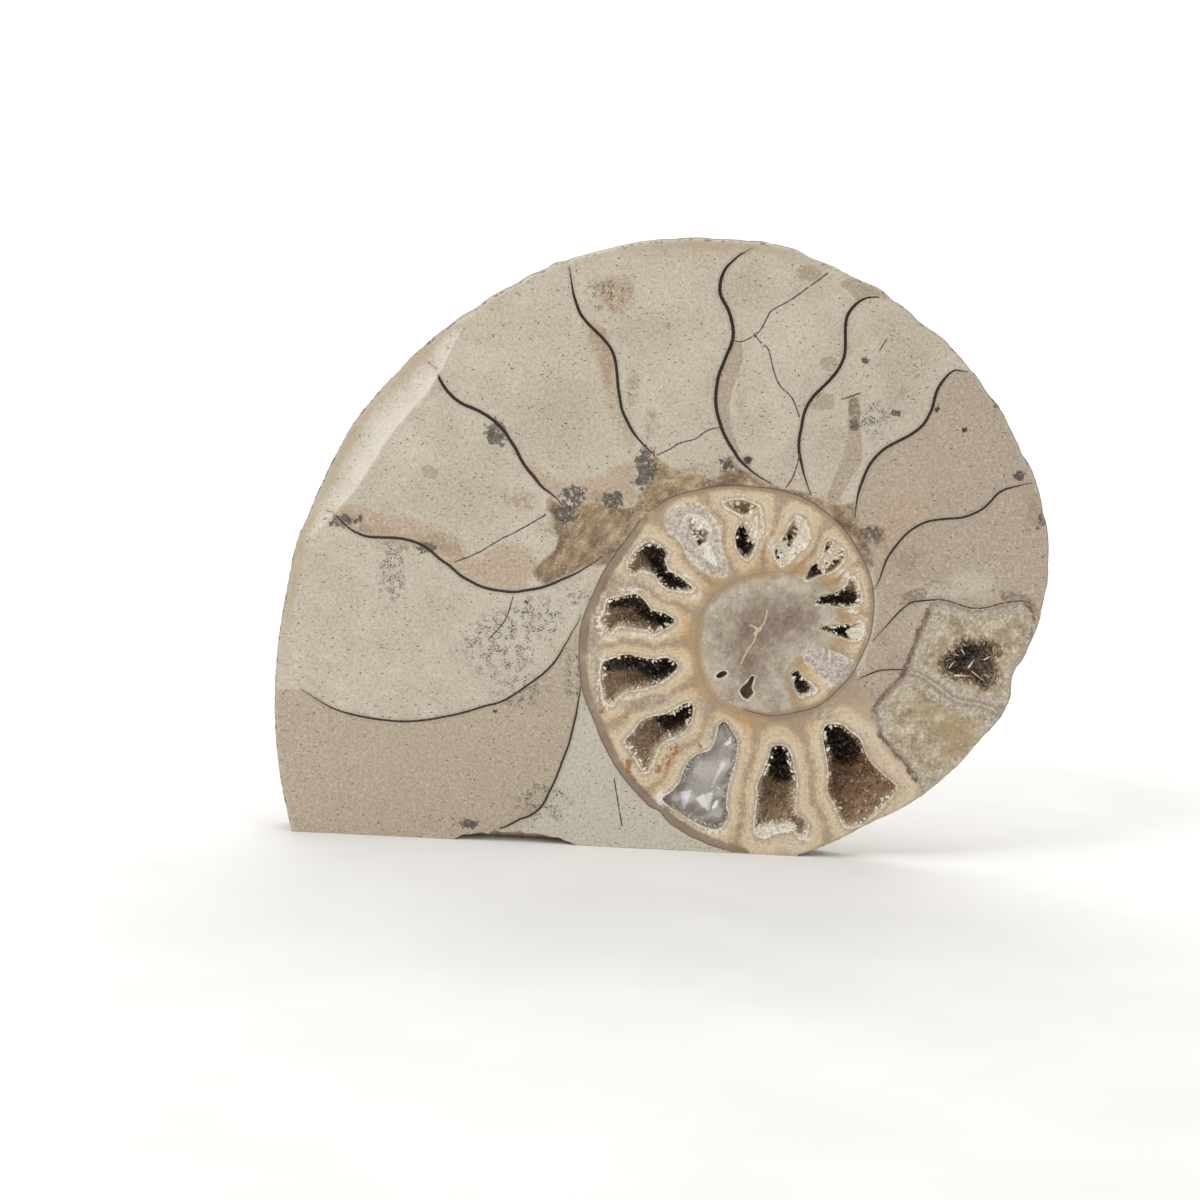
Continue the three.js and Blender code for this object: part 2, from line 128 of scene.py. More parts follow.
# %% Mark the rim and the base
EDGE_STEP = 0.8
RIM = [
    (800, 859), (835, 845), (876, 824), (903, 811), (928, 795), (960, 767), (983, 740), (992, 731),
    (998, 724), (1004, 716), (1008, 708), (1012, 698), (1013, 684), (1014, 676), (1018, 668),
    (1024, 660), (1032, 642), (1036, 632), (1040, 622), (1042, 610), (1045, 595), (1048, 580),
    (1048, 562), (1048, 545), (1046, 527), (1042, 512), (1039, 497), (1034, 480), (1027, 465),
    (1020, 455), (1015, 443), (1008, 430), (1000, 414), (994, 405), (985, 395), (975, 380),
    (966, 370), (958, 360), (950, 352), (940, 341), (920, 328), (910, 318), (900, 310), (892, 306),
    (887, 301), (880, 295), (870, 290), (855, 284), (845, 279), (832, 272), (820, 268), (810, 264),
    (798, 257), (785, 253), (770, 250), (762, 248), (745, 247), (730, 246), (710, 245), (695, 244),
    (680, 245), (660, 246), (640, 248), (620, 252), (600, 257), (580, 262), (565, 267), (555, 269),
    (545, 275), (530, 281), (515, 290), (500, 297), (488, 304), (475, 314), (462, 321), (450, 330),
    (440, 337), (430, 345), (420, 354), (411, 361), (404, 369), (396, 378), (386, 387), (378, 396),
    (371, 404), (364, 412), (358, 420), (352, 428), (347, 436), (343, 444), (338, 453), (333, 462),
    (328, 472), (323, 483), (318, 492), (314, 502), (310, 512), (305, 523), (300, 533), (296, 545),
    (292, 560), (284, 600), (277, 640), (273, 690), (273, 735), (278, 785), (288, 833),
]
CHIP_FROM, CHIP_TO = on_face([(452, 847), (574, 847)])[:, 0]
CHIP_HEIGHT = 2.7
CHIP_DEPTH = 7

rim = smooth_line(RIM, EDGE_STEP)
rim[[0, -1], 1] = 0
base_x = np.linspace(rim[-1, 0], rim[0, 0], round((rim[0, 0] - rim[-1, 0]) / EDGE_STEP) + 1)[1:-1]
outline = np.vstack([rim, np.column_stack([base_x, np.zeros(len(base_x))])])
print(len(rim), "points on the rim and", len(base_x), "on the base")

# %% [markdown]
# ## The shell's spiral
#
# An ammonite's shell is a logarithmic spiral: each turn is the same shape as the one inside it,
# only larger. The seam is the line where a whorl touches the one inside it. Across a whorl the
# flank rises steeply from the seam, runs nearly flat and falls away to the outer edge, and ribs
# cross it in a shallow sickle curve. Working the spiral backwards gives how far behind the face the
# flank stands at any place, so the back can later be meshed freely.

# %% The spiral and the flank behind it
CENTRE = on_face([(758, 625)])[0]
SEAM_RADIUS = 29.4
GROWTH = 0.156
WHORL_START = math.radians(-100)
VENTER_WALL = 9
FLANK_SWELL = 0.15
FLANK_ACROSS = [0, 0.08, 0.17, 0.28, 0.46, 0.62, 0.78, 0.9, 1]
FLANK_RISE = [0.02, 0.62, 0.95, 1, 0.92, 0.9, 0.82, 0.64, 0.12]
FLANK_SOFTNESS = 0.05
SPIRAL_GROOVE = 0.012
SPIRAL_GROOVE_AT = 0.4
SPIRAL_GROOVE_WIDTH = 0.06
RIBS_PER_TURN = 38
RIB_HEIGHT = 0.009
RIB_SHARPNESS = 0.3
RIBS_RISE = (0.08, 0.3)
RIBS_FADE = (0.88, 1)
RIBS_GROW = (7, 30)
RIB_BEND = 0.12
RIB_BACKMOST = 0.62
STRAIGHTEN_OVER = math.radians(25)
INNERMOST = 1.2
MOST_TURNS = 4
ROUNDS = 8


def smoothstep(value, low, high):
    share = np.clip((value - low) / (high - low), 0, 1)
    return share * share * (3 - 2 * share)


def polar(points):
    """Angle on the outermost turn and radius about the middle of the spiral."""
    x, z = (np.asarray(points) - CENTRE).T
    return WHORL_START + (np.arctan2(z, x) - WHORL_START) % TURN, np.hypot(x, z)


def seam_radius(angle):
    return SEAM_RADIUS * np.exp(GROWTH * angle)


rim_angle, rim_radius = polar(rim)
RIM_ORDER = np.argsort(rim_angle)


def outer_edge(angle):
    on_rim = np.interp(angle, rim_angle[RIM_ORDER], rim_radius[RIM_ORDER])
    return np.where(angle <= WHORL_START, seam_radius(angle + TURN), on_rim)


def across_whorl(points):
    """For each place: the angle of the whorl's section there, and the share from seam to edge."""
    angle, radius = polar(points)
    radius = np.maximum(radius, INNERMOST)
    turns = np.clip(np.ceil(np.log(seam_radius(angle) / radius) / (GROWTH * TURN)), 0, MOST_TURNS)
    place = angle - TURN * turns
    section = place
    for _ in range(ROUNDS):
        seam = seam_radius(section)
        share = np.clip(np.log(radius / seam) / np.log(outer_edge(section) / seam), 0, 1)
        side = np.where(share > RIB_BACKMOST, 1 - RIB_BACKMOST, RIB_BACKMOST)
        bend = -RIB_BEND * (1 - ((share - RIB_BACKMOST) / side) ** 2)
        from_ends = np.minimum(abs(place - WHORL_START), abs(place - WHORL_START - TURN))
        section = place - bend * np.clip(from_ends / STRAIGHTEN_OVER, 0, 1)
    return section, share


def flank(points):
    """How far behind the face the shell stands, and how much of a rib's crest is there."""
    section, share = across_whorl(points)
    reach = seam_radius(section + TURN)
    shifts = np.linspace(-FLANK_SOFTNESS, FLANK_SOFTNESS, 7)
    rise = np.mean([np.interp(share + s, FLANK_ACROSS, FLANK_RISE) for s in shifts], axis=0)
    groove = SPIRAL_GROOVE * np.exp(-(((share - SPIRAL_GROOVE_AT) / SPIRAL_GROOVE_WIDTH) ** 2))
    ribbed = smoothstep(share, *RIBS_RISE) * (1 - smoothstep(share, *RIBS_FADE))
    wave = np.cos((section - WHORL_START) * RIBS_PER_TURN)
    crest = ribbed * smoothstep(reach, *RIBS_GROW) * (wave + RIB_SHARPNESS * wave**2)
    return VENTER_WALL + reach * (FLANK_SWELL * rise - groove + RIB_HEIGHT * crest), crest


print("flank behind the middle of the outer whorl:", flank(on_face([(420, 560)]))[0].round(1), "mm")

# %% [markdown]
# ## Distances and triangles
#
# The pattern of the face is many thin lines. Painting them needs to know, at every vertex, how far
# the nearest line is. So lines are put into the mesh as edges: the distance is then exact on the
# line and beside it, and a material can draw a line of any width from it, finer than the mesh.
# Constrained Delaunay triangulation does that. It takes loops, lines and loose points.

# %% Measure distances and fill a shape with triangles
LOOSE_SHAKE = 0.16
LOOSE_GAP = 0.62
NO_LENGTH = 1e-12
SAME_PLACE = 1e-6


def nearest(points, line, closed=False):
    """Distance from each point to a line, and the share of the line's points passed there."""
    ends = np.roll(line, -1, axis=0) if closed else line[1:]
    starts = line if closed else line[:-1]
    best = np.full(len(points), np.inf)
    place = np.zeros(len(points))
    for i, (a, b) in enumerate(zip(starts, ends)):
        along = b - a
        share = np.clip((points - a) @ along / max(along @ along, NO_LENGTH), 0, 1)
        gap = np.hypot(*(points - a - share[:, None] * along).T)
        closer = gap < best
        best[closer] = gap[closer]
        place[closer] = (i + share[closer]) / len(starts)
    return best, place


def inside(points, loop):
    x, z = points.T
    found = np.zeros(len(points), bool)
    for (x0, z0), (x1, z1) in zip(loop, np.roll(loop, -1, axis=0)):
        if z0 != z1:
            found ^= ((z0 > z) != (z1 > z)) & (x < (x1 - x0) * (z - z0) / (z1 - z0) + x0)
    return found


def depth_inside(points, loop):
    """Distance to a closed loop, positive inside it and negative outside."""
    gap, _ = nearest(points, loop, closed=True)
    return np.where(inside(points, loop), gap, -gap)


def loose_points(spacing, within, kept_from, seed):
    """A slightly shaken honeycomb of points inside a loop, none too close to points given."""
    low, high = within.min(axis=0), within.max(axis=0)
    rows = np.arange(low[1], high[1], spacing * math.sqrt(3) / 2)
    steps = np.arange(low[0], high[0], spacing)
    grid = np.array([(x + spacing / 2 * (k % 2), z) for k, z in enumerate(rows) for x in steps])
    shake = np.random.default_rng(seed).uniform(-LOOSE_SHAKE, LOOSE_SHAKE, grid.shape)
    grid += shake * spacing
    grid = grid[inside(grid, within)]
    tree = KDTree(len(kept_from))
    for i, (x, z) in enumerate(kept_from):
        tree.insert((x, z, 0), i)
    tree.balance()
    clear = [tree.find((x, z, 0))[2] > LOOSE_GAP * spacing for x, z in grid]
    return grid[np.array(clear)]


def triangulate(loops, lines, spacing, seed):
    """Fills the first loop with triangles whose edges follow every other loop and line.

    Returns the flat places, the triangles, and where each loop's own points went."""
    drawn, edges, count = [], [], 0
    for points, closed in [(p, True) for p in loops] + [(p, False) for p in lines]:
        ids = np.arange(count, count + len(points))
        edges += list(zip(ids, np.roll(ids, -1) if closed else ids[1:]))
        drawn.append(points)
        count += len(points)
    drawn = np.vstack(drawn)
    every = np.vstack([drawn, loose_points(spacing, loops[0], drawn, seed)])
    edges = [(int(a), int(b)) for a, b in edges]
    flat, _, faces, sources, _, _ = delaunay_2d_cdt(
        [Vector(p) for p in every], edges, [], 0, SAME_PLACE)
    flat = np.array([tuple(p) for p in flat])
    faces = np.array(faces)
    faces = faces[inside(flat[faces].mean(axis=1), loops[0])]
    went = {source: i for i, found in enumerate(sources) for source in found}
    placed, count = [], 0
    for points in loops:
        placed.append(np.array([went[count + i] for i in range(len(points))]))
        count += len(points)
    return flat, faces, placed


def keep_clear(line, loops, margin):
    """Cuts a line where it comes nearer to a loop than a margin, and returns the parts left."""
    gap = np.min([nearest(line, loop, closed=True)[0] for loop in loops], axis=0)
    parts = np.split(line, np.flatnonzero(np.diff(gap > margin)) + 1)
    parts = [part for part in parts if len(part) > 1]
    return [part for part in parts if nearest(part[:1], loops[0], True)[0][0] > margin]


print("the outline encloses", inside(on_face([(600, 600), (200, 600)]), outline))

# %% [markdown]
# ## Hollows and what lines them
#
# In the inner whorl most chambers never filled up. Crystals grew inward from their walls and left
# hollows, and grinding cut them open. Each hollow has its mouth on the face, its deepest place, how
# large its crystals are, and how pale its floor is; most also carry marks along which their crust
# gets painted shade. Two tiny pits have no crystals worth a piece.

# %% Mark the hollows
HOLLOWS = [
    dict(mouth=[(792, 669), (798, 669), (806, 680), (818, 690), (805, 697), (800, 698), (795, 689),
                (791, 675)],
         deepest=(799, 682), depth=5, grain=0.5, pale=0.25, shade=[(797, 674), (803, 690)]),
    dict(mouth=[(817, 628), (830, 625), (846, 624), (860, 622), (864, 627), (860, 640), (849, 641),
                (836, 636), (822, 631)],
         deepest=(836, 631), depth=6, grain=0.5, pale=0.3, shade=[(824, 629), (846, 634)],
         ledges=[[(853, 633), (860, 632)]]),
    dict(mouth=[(848, 580), (853, 577), (860, 589), (860, 604), (843, 608), (826, 606), (814, 605),
                (822, 595), (836, 592), (846, 586)],
         deepest=(838, 600), depth=6.5, grain=0.5, pale=0.2, shade=[(820, 604), (850, 600)]),
    dict(mouth=[(828, 541), (840, 548), (845, 556), (834, 571), (820, 576), (807, 582), (803, 580),
                (810, 567), (821, 559), (825, 545)],
         deepest=(836, 557), depth=5.5, grain=0.9, pale=0.3, stained=0.5, shade=[(809, 579), (814, 572)],
         ledges=[[(836, 549), (822, 566)]]),
    dict(mouth=[(796, 517), (806, 523), (809, 540), (800, 551), (783, 567), (777, 563), (773, 547),
                (782, 538), (789, 525)],
         deepest=(792, 545), depth=5, grain=1.1, pale=0.5, stained=0.4, shade=[(779, 553), (788, 546)],
         ledges=[[(800, 522), (803, 535), (797, 546)], [(780, 545), (788, 555), (782, 562)]]),
    dict(mouth=[(722, 505), (727, 501), (742, 500), (757, 506), (760, 511), (762, 522), (763, 530),
                (756, 543), (751, 556), (746, 560), (737, 550), (735, 535), (741, 522), (741, 516),
                (730, 510)],
         deepest=(744, 533), depth=6.5, grain=1.0, pale=0.2, stained=0.5, shade=[(739, 531), (744, 546)],
         ledges=[[(755, 514), (759, 526), (753, 537)], [(744, 520), (749, 526)]]),
    dict(mouth=[(683, 518), (690, 514), (700, 516), (711, 527), (711, 535), (709, 542), (716, 560),
                (716, 566), (702, 556), (694, 541), (684, 524)],
         deepest=(701, 540), depth=4, grain=1.1, pale=0.8, shade=[(695, 543), (706, 557)],
         ledges=[[(699, 519), (708, 527)], [(706, 548), (713, 560)]]),
    dict(mouth=[(640, 546), (645, 543), (650, 542), (655, 543), (660, 546), (669, 552), (668, 556),
                (665, 560), (667, 566), (669, 572), (674, 573), (684, 580), (689, 584), (695, 589),
                (690, 592), (681, 591), (670, 590), (661, 584), (655, 576), (650, 573), (641, 571),
                (634, 576), (627, 570), (630, 558), (636, 549)],
         deepest=(664, 574), depth=8.5, grain=0.55, pale=0.3,
         shade=[(646, 549), (657, 559), (668, 578), (686, 587)]),
    dict(mouth=[(607, 600), (618, 597), (635, 594), (644, 600), (652, 610), (664, 613), (675, 621),
                (667, 628), (658, 633), (653, 634), (646, 630), (633, 629), (619, 627), (610, 634),
                (603, 626), (599, 620), (604, 613)],
         deepest=(655, 619), depth=9.5, grain=0.55, pale=0.3,
         shade=[(614, 600), (636, 600), (650, 612), (670, 622)]),
    dict(mouth=[(602, 664), (605, 661), (614, 658), (622, 655), (632, 655), (643, 658), (656, 659),
                (668, 658), (677, 664), (678, 668), (672, 675), (664, 681), (655, 686), (640, 690),
                (625, 693), (616, 701), (614, 706), (604, 702), (602, 691), (600, 676)],
         deepest=(655, 670), depth=10, grain=0.6, pale=0.35,
         shade=[(612, 662), (638, 663), (655, 672), (670, 668)]),
    dict(mouth=[(625, 742), (632, 734), (641, 722), (652, 717), (664, 715), (675, 710), (685, 704),
                (693, 705), (692, 720), (686, 732), (677, 737), (666, 742), (658, 751), (653, 765),
                (648, 774), (643, 774), (638, 764), (630, 752)],
         deepest=(680, 718), depth=10, grain=0.6, pale=0.6, shade=[(668, 722), (686, 712)]),
    dict(mouth=[(724, 722), (729, 726), (737, 740), (738, 750), (734, 770), (729, 787), (727, 808),
                (729, 817), (720, 831), (703, 828), (685, 818), (663, 802), (672, 793), (680, 783),
                (686, 768), (696, 756), (710, 751), (716, 740), (719, 727)],
         deepest=(704, 792), depth=6, grain=0.5, pale=1.0),
    dict(mouth=[(774, 747), (787, 748), (793, 760), (795, 772), (798, 780), (797, 800), (797, 815),
                (806, 821), (810, 832), (803, 841), (795, 833), (788, 834), (776, 836), (766, 840),
                (756, 836), (757, 812), (759, 795), (758, 788), (764, 773), (770, 758)],
         deepest=(780, 764), depth=11, grain=0.6, pale=0.8, shade=[(781, 756), (784, 776)],
         ledges=[[(762, 834), (778, 832), (792, 830)]]),
    dict(mouth=[(825, 729), (830, 725), (843, 726), (852, 733), (861, 740), (866, 752), (872, 763),
                (884, 775), (896, 785), (898, 793), (876, 817), (868, 825), (850, 830), (842, 820),
                (836, 806), (829, 793), (830, 775), (828, 760), (825, 745), (824, 738)],
         deepest=(845, 750), depth=12, grain=0.65, pale=0.1, shade=[(834, 738), (850, 760)]),
    dict(mouth=[(944, 668), (946, 658), (956, 650), (964, 641), (976, 645), (988, 641), (998, 650),
                (992, 660), (996, 676), (986, 688), (972, 680), (956, 678)],
         deepest=(971, 664), depth=6, grain=0.55, pale=0.1, rim=0.8, stained=1.4,
         shade=[(964, 660), (976, 654)],
         slivers=[(956, 676, 972, 677, 0.5), (969, 668, 976, 659, 0.4), (973, 672, 988, 684, 0.2),
                  (985, 660, 993, 656, 0.3), (950, 668, 956, 661, 0.3), (962, 650, 966, 656, 0.3)]),
]
PITS = [
    dict(mouth=[(751, 677), (755, 677), (752, 688), (754, 693), (747, 700), (740, 691), (748, 682)],
         deepest=(748, 689), depth=3.4),
    dict(mouth=[(716, 676), (723, 671), (728, 674), (720, 679)], deepest=(721, 675), depth=2.8),
]
MOUTH_STEP = 0.6
WALL_INSET = 0.22
FLOOR_RISE = 0.7
LEAST_WALL = 2.2
BEHIND_CRUST = 0.35

for hollow in HOLLOWS + PITS:
    hollow["loop"] = smooth_line(hollow["mouth"], MOUTH_STEP, closed=True)
    hollow["foot"] = on_face([hollow["deepest"]])[0]
    hollow["reach"] = np.hypot(*(hollow["loop"] - hollow["foot"]).T).max()
    hollow.setdefault("rim", 1.1)


def hollow_floor(hollow, points):
    """How deep the floor of a hollow is: most at its deepest place, and always short of the back."""
    away = np.hypot(*(points - hollow["foot"]).T) / hollow["reach"]
    depth = hollow["depth"] * (1 - FLOOR_RISE * away**2)
    return np.minimum(depth, flank(points)[0] - LEAST_WALL - BEHIND_CRUST)


print(len(HOLLOWS), "hollows and", len(PITS), "pits; widest reach",
      round(max(h["reach"] for h in HOLLOWS), 1), "mm")

# %% [markdown]
# ## The lines on the face
#
# The black lines that cross the outer whorl are septa, the thin walls between the chambers, cut
# edge on. They taper where they meet the shell. Fine cracks run between them, and the shell wall of
# the inner whorl shows as a brown line that follows the spiral. Each septum has half its width.

# %% Mark the septa, cracks and shell walls
LINE_STEP = 0.9
SEPTA = [
    (0.19, [(873, 641), (880, 633), (890, 622), (900, 611), (910, 603), (920, 601), (942, 600),
            (960, 605), (970, 608), (985, 608), (1000, 604), (1022, 601), (1032, 605), (1040, 615)]),
    (0.17, [(858, 680), (866, 676), (876, 672), (886, 670), (904, 670), (912, 672)]),
    (0.27, [(872, 592), (878, 582), (886, 560), (893, 549), (900, 540), (908, 532), (917, 526),
            (926, 522), (937, 520), (948, 519), (960, 518), (970, 515), (980, 510), (988, 503),
            (995, 495), (1003, 490), (1010, 488), (1018, 486), (1032, 483)]),
    (0.36, [(966, 374), (957, 373), (953, 372), (946, 376), (940, 383), (935, 391), (932, 400),
            (930, 409), (926, 418), (921, 426), (913, 433), (903, 439), (893, 444), (884, 449),
            (877, 455), (870, 463), (865, 472), (861, 482), (858, 491), (856, 500), (854, 518)]),
    (0.38, [(886, 301), (868, 301), (860, 303), (853, 308), (847, 315), (844, 322), (843, 332),
            (843, 353), (841, 362), (836, 372), (828, 382), (820, 390), (812, 398), (806, 407),
            (802, 418), (800, 430), (798, 440), (798, 452), (800, 462), (803, 475), (807, 487),
            (810, 495)]),
    (0.42, [(753, 252), (738, 260), (731, 266), (725, 272), (721, 280), (719, 288), (719, 297),
            (722, 304), (727, 313), (730, 322), (732, 332), (732, 340), (730, 348), (726, 357),
            (722, 367), (718, 377), (716, 388), (715, 400), (716, 412), (719, 423), (722, 432),
            (728, 444), (734, 453), (740, 462), (755, 475), (770, 484)]),
    (0.36, [(570, 272), (572, 285), (574, 297), (577, 307), (581, 317), (588, 326), (596, 334),
            (604, 342), (611, 351), (615, 361), (617, 374), (618, 387), (620, 400), (622, 411),
            (627, 422), (633, 433), (640, 442), (648, 450), (655, 457)]),
    (0.40, [(424, 368), (428, 364), (432, 365), (437, 370), (440, 378), (444, 386), (449, 393),
            (456, 400), (465, 406), (475, 410), (483, 414), (491, 419), (498, 425), (505, 432),
            (510, 440), (516, 449), (522, 461), (528, 470), (535, 478), (542, 487), (550, 493),
            (557, 499), (562, 505)]),
    (0.34, [(326, 511), (332, 512), (338, 517), (344, 523), (352, 530), (360, 534), (370, 537),
            (395, 538), (408, 540), (420, 544), (430, 550), (440, 559), (450, 566), (460, 575),
            (470, 581), (480, 586), (490, 589), (502, 591), (515, 592), (528, 590), (540, 588),
            (552, 584), (563, 579), (575, 574), (585, 568), (595, 562), (603, 556)]),
    (0.25, [(300, 690), (340, 712), (400, 722), (450, 716), (486, 706), (495, 704), (505, 700),
            (515, 694), (525, 687), (535, 680), (545, 672), (552, 665), (558, 657), (563, 648),
            (568, 640), (572, 632), (577, 624), (581, 615)]),
    (0.25, [(582, 680), (580, 692), (578, 702), (576, 715), (573, 727), (570, 740), (566, 752),
            (562, 762), (558, 773), (553, 785), (547, 797), (543, 805), (537, 812), (528, 818),
            (519, 821), (510, 826), (500, 830), (475, 835)]),
]
CRACKS = [
    [(732, 343), (742, 344), (758, 334), (765, 322), (770, 314), (788, 304), (805, 292), (823, 279),
     (826, 275)],
    [(753, 337), (760, 346), (767, 352), (773, 375), (779, 388), (791, 400), (798, 418)],
    [(657, 456), (668, 451), (680, 444), (695, 440), (706, 432), (720, 428)],
    [(785, 488), (792, 478), (799, 455)],
    [(455, 562), (478, 553), (500, 540), (520, 530), (546, 515)],
    [(513, 597), (505, 620), (488, 640)],
    [(840, 401), (858, 395)],
    [(614, 780), (622, 828)],
    [(877, 353), (884, 342)],
]
SEAM_OUTSIDE = [
    (640, 520), (632, 532), (622, 545), (614, 556), (607, 566), (600, 578), (594, 592), (588, 605),
    (583, 618), (580, 632), (579, 648), (579, 662), (580, 675), (582, 688), (585, 700), (590, 712),
    (596, 726), (600, 738), (607, 752), (614, 765), (622, 777), (630, 787), (640, 798), (650, 808),
    (660, 813), (670, 825), (680, 831), (690, 838), (700, 842), (710, 847), (720, 850), (730, 854),
    (742, 858),
]
SEAM_INSIDE = [
    (655, 508), (670, 498), (690, 492), (710, 488), (730, 486), (750, 487), (770, 489), (785, 492),
    (800, 497), (812, 503), (822, 510), (832, 518), (842, 528), (850, 538), (857, 550), (864, 562),
    (870, 577), (873, 590), (874, 605), (873, 620), (870, 637), (864, 652), (857, 667), (848, 680),
    (838, 690), (828, 700), (815, 708), (800, 712), (785, 715), (770, 716), (755, 713), (745, 710),
]
AMBER_BORDER = [(875, 708), (875, 715), (880, 735), (895, 752), (905, 762), (918, 780), (928, 795)]
UPPER_GEODE = [
    (928, 603), (927, 615), (919, 630), (913, 648), (908, 662), (907, 668), (912, 672), (920, 675),
    (930, 681), (940, 688), (950, 696), (960, 701), (985, 706), (995, 710), (1004, 718), (1014, 698),
    (1015, 684), (1017, 674), (1022, 664), (1034, 642), (1042, 622), (1040, 615), (1032, 605),
    (1022, 601), (1000, 604), (985, 608), (970, 608), (960, 605), (942, 600),
]
LOWER_GEODE = [
    (907, 672), (900, 680), (890, 690), (880, 700), (875, 708), (875, 715), (880, 735), (895, 752),
    (905, 762), (918, 780), (928, 799), (964, 771), (988, 742), (997, 731), (1004, 718), (985, 706),
    (960, 701), (950, 696), (940, 688), (930, 681), (920, 675),
]
GREY_GEODE = [
    (803, 652), (812, 649), (822, 648), (842, 655), (857, 664), (846, 680), (838, 687), (828, 684),
    (815, 672), (805, 662),
]
AGATE = [
    (665, 520), (672, 509), (682, 503), (695, 503), (706, 509), (715, 520), (720, 535), (722, 550),
    (728, 566), (727, 577), (718, 578), (706, 572), (693, 563), (685, 552), (678, 540), (668, 532),
]
CORE = [
    (839, 628), (834, 604), (820, 585), (800, 577), (780, 577), (762, 578), (742, 583), (724, 592),
    (710, 606), (703, 624), (701, 644), (703, 664), (709, 682), (718, 696), (732, 706), (750, 711),
    (772, 714), (794, 712), (790, 700), (786, 680), (792, 664), (806, 655), (824, 648), (836, 640),
]
CORE_VEIN = [
    (767, 610), (766, 618), (763, 625), (758, 630), (754, 642), (749, 648), (745, 656), (741, 664),
]
CORE_TWIGS = [[(750, 625), (757, 628), (761, 630)], [(757, 630), (754, 634)]]
WEDGE = [
    (584, 690), (574, 730), (560, 775), (540, 812), (520, 832), (560, 850), (640, 858), (740, 866),
    (690, 838), (640, 798), (600, 738),
]

AMBER = [
    (548, 500), (560, 503), (600, 505), (634, 505), (645, 480), (653, 457), (668, 468), (690, 476),
    (704, 479), (718, 474), (728, 453), (738, 466), (762, 482), (784, 488), (800, 492), (816, 499),
    (835, 504), (853, 504), (858, 520), (866, 540), (874, 560), (873, 575), (850, 545), (832, 525),
    (812, 510), (785, 500), (750, 494), (710, 496), (670, 506), (644, 526), (616, 562), (600, 566),
    (585, 568), (563, 579), (545, 584), (534, 576), (541, 562), (552, 551), (556, 535), (550, 515),
]
TAN_PATCHES = [
    [(847, 400), (852, 398), (857, 404), (859, 430), (861, 460), (850, 480), (838, 500), (830, 503),
     (826, 498), (836, 470), (845, 445), (846, 425)],
    [(734, 345), (742, 349), (741, 365), (734, 385), (729, 405), (730, 425), (737, 445), (746, 462),
     (752, 474), (742, 464), (728, 444), (719, 423), (716, 412), (715, 400), (716, 388), (722, 367),
     (730, 348)],
    [(848, 281), (868, 287), (889, 300), (866, 299), (853, 304), (848, 296), (838, 290)],
    [(795, 273), (806, 269), (818, 275), (819, 282), (806, 285), (795, 281)],
    [(1020, 493), (1028, 488), (1038, 498), (1043, 516), (1040, 530), (1030, 528), (1022, 512)],
    [(818, 363), (828, 358), (835, 362), (832, 372), (824, 374)],
    [(812, 398), (822, 394), (832, 400), (830, 410), (818, 412), (808, 408)],
    [(423, 468), (432, 466), (440, 474), (434, 480), (424, 477)],
]
PINK_PATCHES = [
    [(588, 326), (598, 328), (608, 345), (614, 360), (612, 374), (605, 376), (595, 362), (586, 346)],
    [(528, 458), (545, 474), (565, 480), (600, 476), (630, 462), (638, 480), (633, 502), (600, 504),
     (575, 502), (556, 498), (540, 486)],
    [(332, 508), (360, 506), (386, 514), (412, 519), (440, 530), (462, 546), (472, 568), (494, 588),
     (470, 581), (450, 566), (430, 550), (408, 540), (370, 537), (345, 523)],
    [(455, 564), (478, 556), (500, 544), (520, 545), (536, 560), (530, 580), (515, 591), (490, 588),
     (470, 579)],
    [(600, 286), (616, 280), (634, 284), (636, 300), (620, 316), (606, 312), (598, 300)],
    [(600, 376), (612, 372), (618, 390), (622, 412), (634, 436), (630, 452), (618, 430), (606, 400)],
    [(876, 506), (900, 498), (926, 508), (914, 530), (896, 545), (884, 560), (876, 545), (872, 524)],
]
PINK_CHAMBERS = SEPTA[3][1] + [(862, 535), (874, 570), (878, 605), (873, 641), (858, 680),
                               (876, 706), (905, 668), (927, 615)]
PINK_CHAMBERS += SEPTA[0][1][5:] + [(1070, 600), (1070, 470), (1000, 370)]
LOWER_CHAMBER = SEPTA[10][1] + [(400, 850), (250, 850), (250, 690)] + SEPTA[9][1]
UMBER_PATCHES = [
    [(1022, 601), (1033, 605), (1041, 615), (1037, 632), (1030, 646), (1031, 622)],
    [(1000, 591), (1012, 592), (1030, 597), (1034, 605), (1020, 602), (1005, 602)],
    [(902, 596), (912, 590), (925, 588), (925, 599), (912, 604), (903, 604)],
    [(861, 531), (870, 526), (882, 529), (884, 540), (874, 545), (864, 541)],
    [(744, 456), (750, 456), (751, 464), (746, 467), (742, 462)],
    [(848, 401), (856, 401), (859, 415), (858, 431), (851, 430), (847, 415)],
]
BROWN_BORDERS = [
    [(928, 604), (927, 615), (919, 630), (913, 648), (908, 662), (905, 669)],
    [(905, 672), (898, 681), (889, 690), (880, 700), (875, 709), (875, 716)],
    [(879, 733), (888, 744), (896, 753), (905, 762), (912, 772), (918, 781)],
    [(1027, 604), (1032, 612), (1034, 622), (1030, 638)],
    [(1000, 706), (1006, 712), (1002, 722)],
]


def curves(many, closed=False):
    return [smooth_line(marks, LINE_STEP, closed) for marks in many]


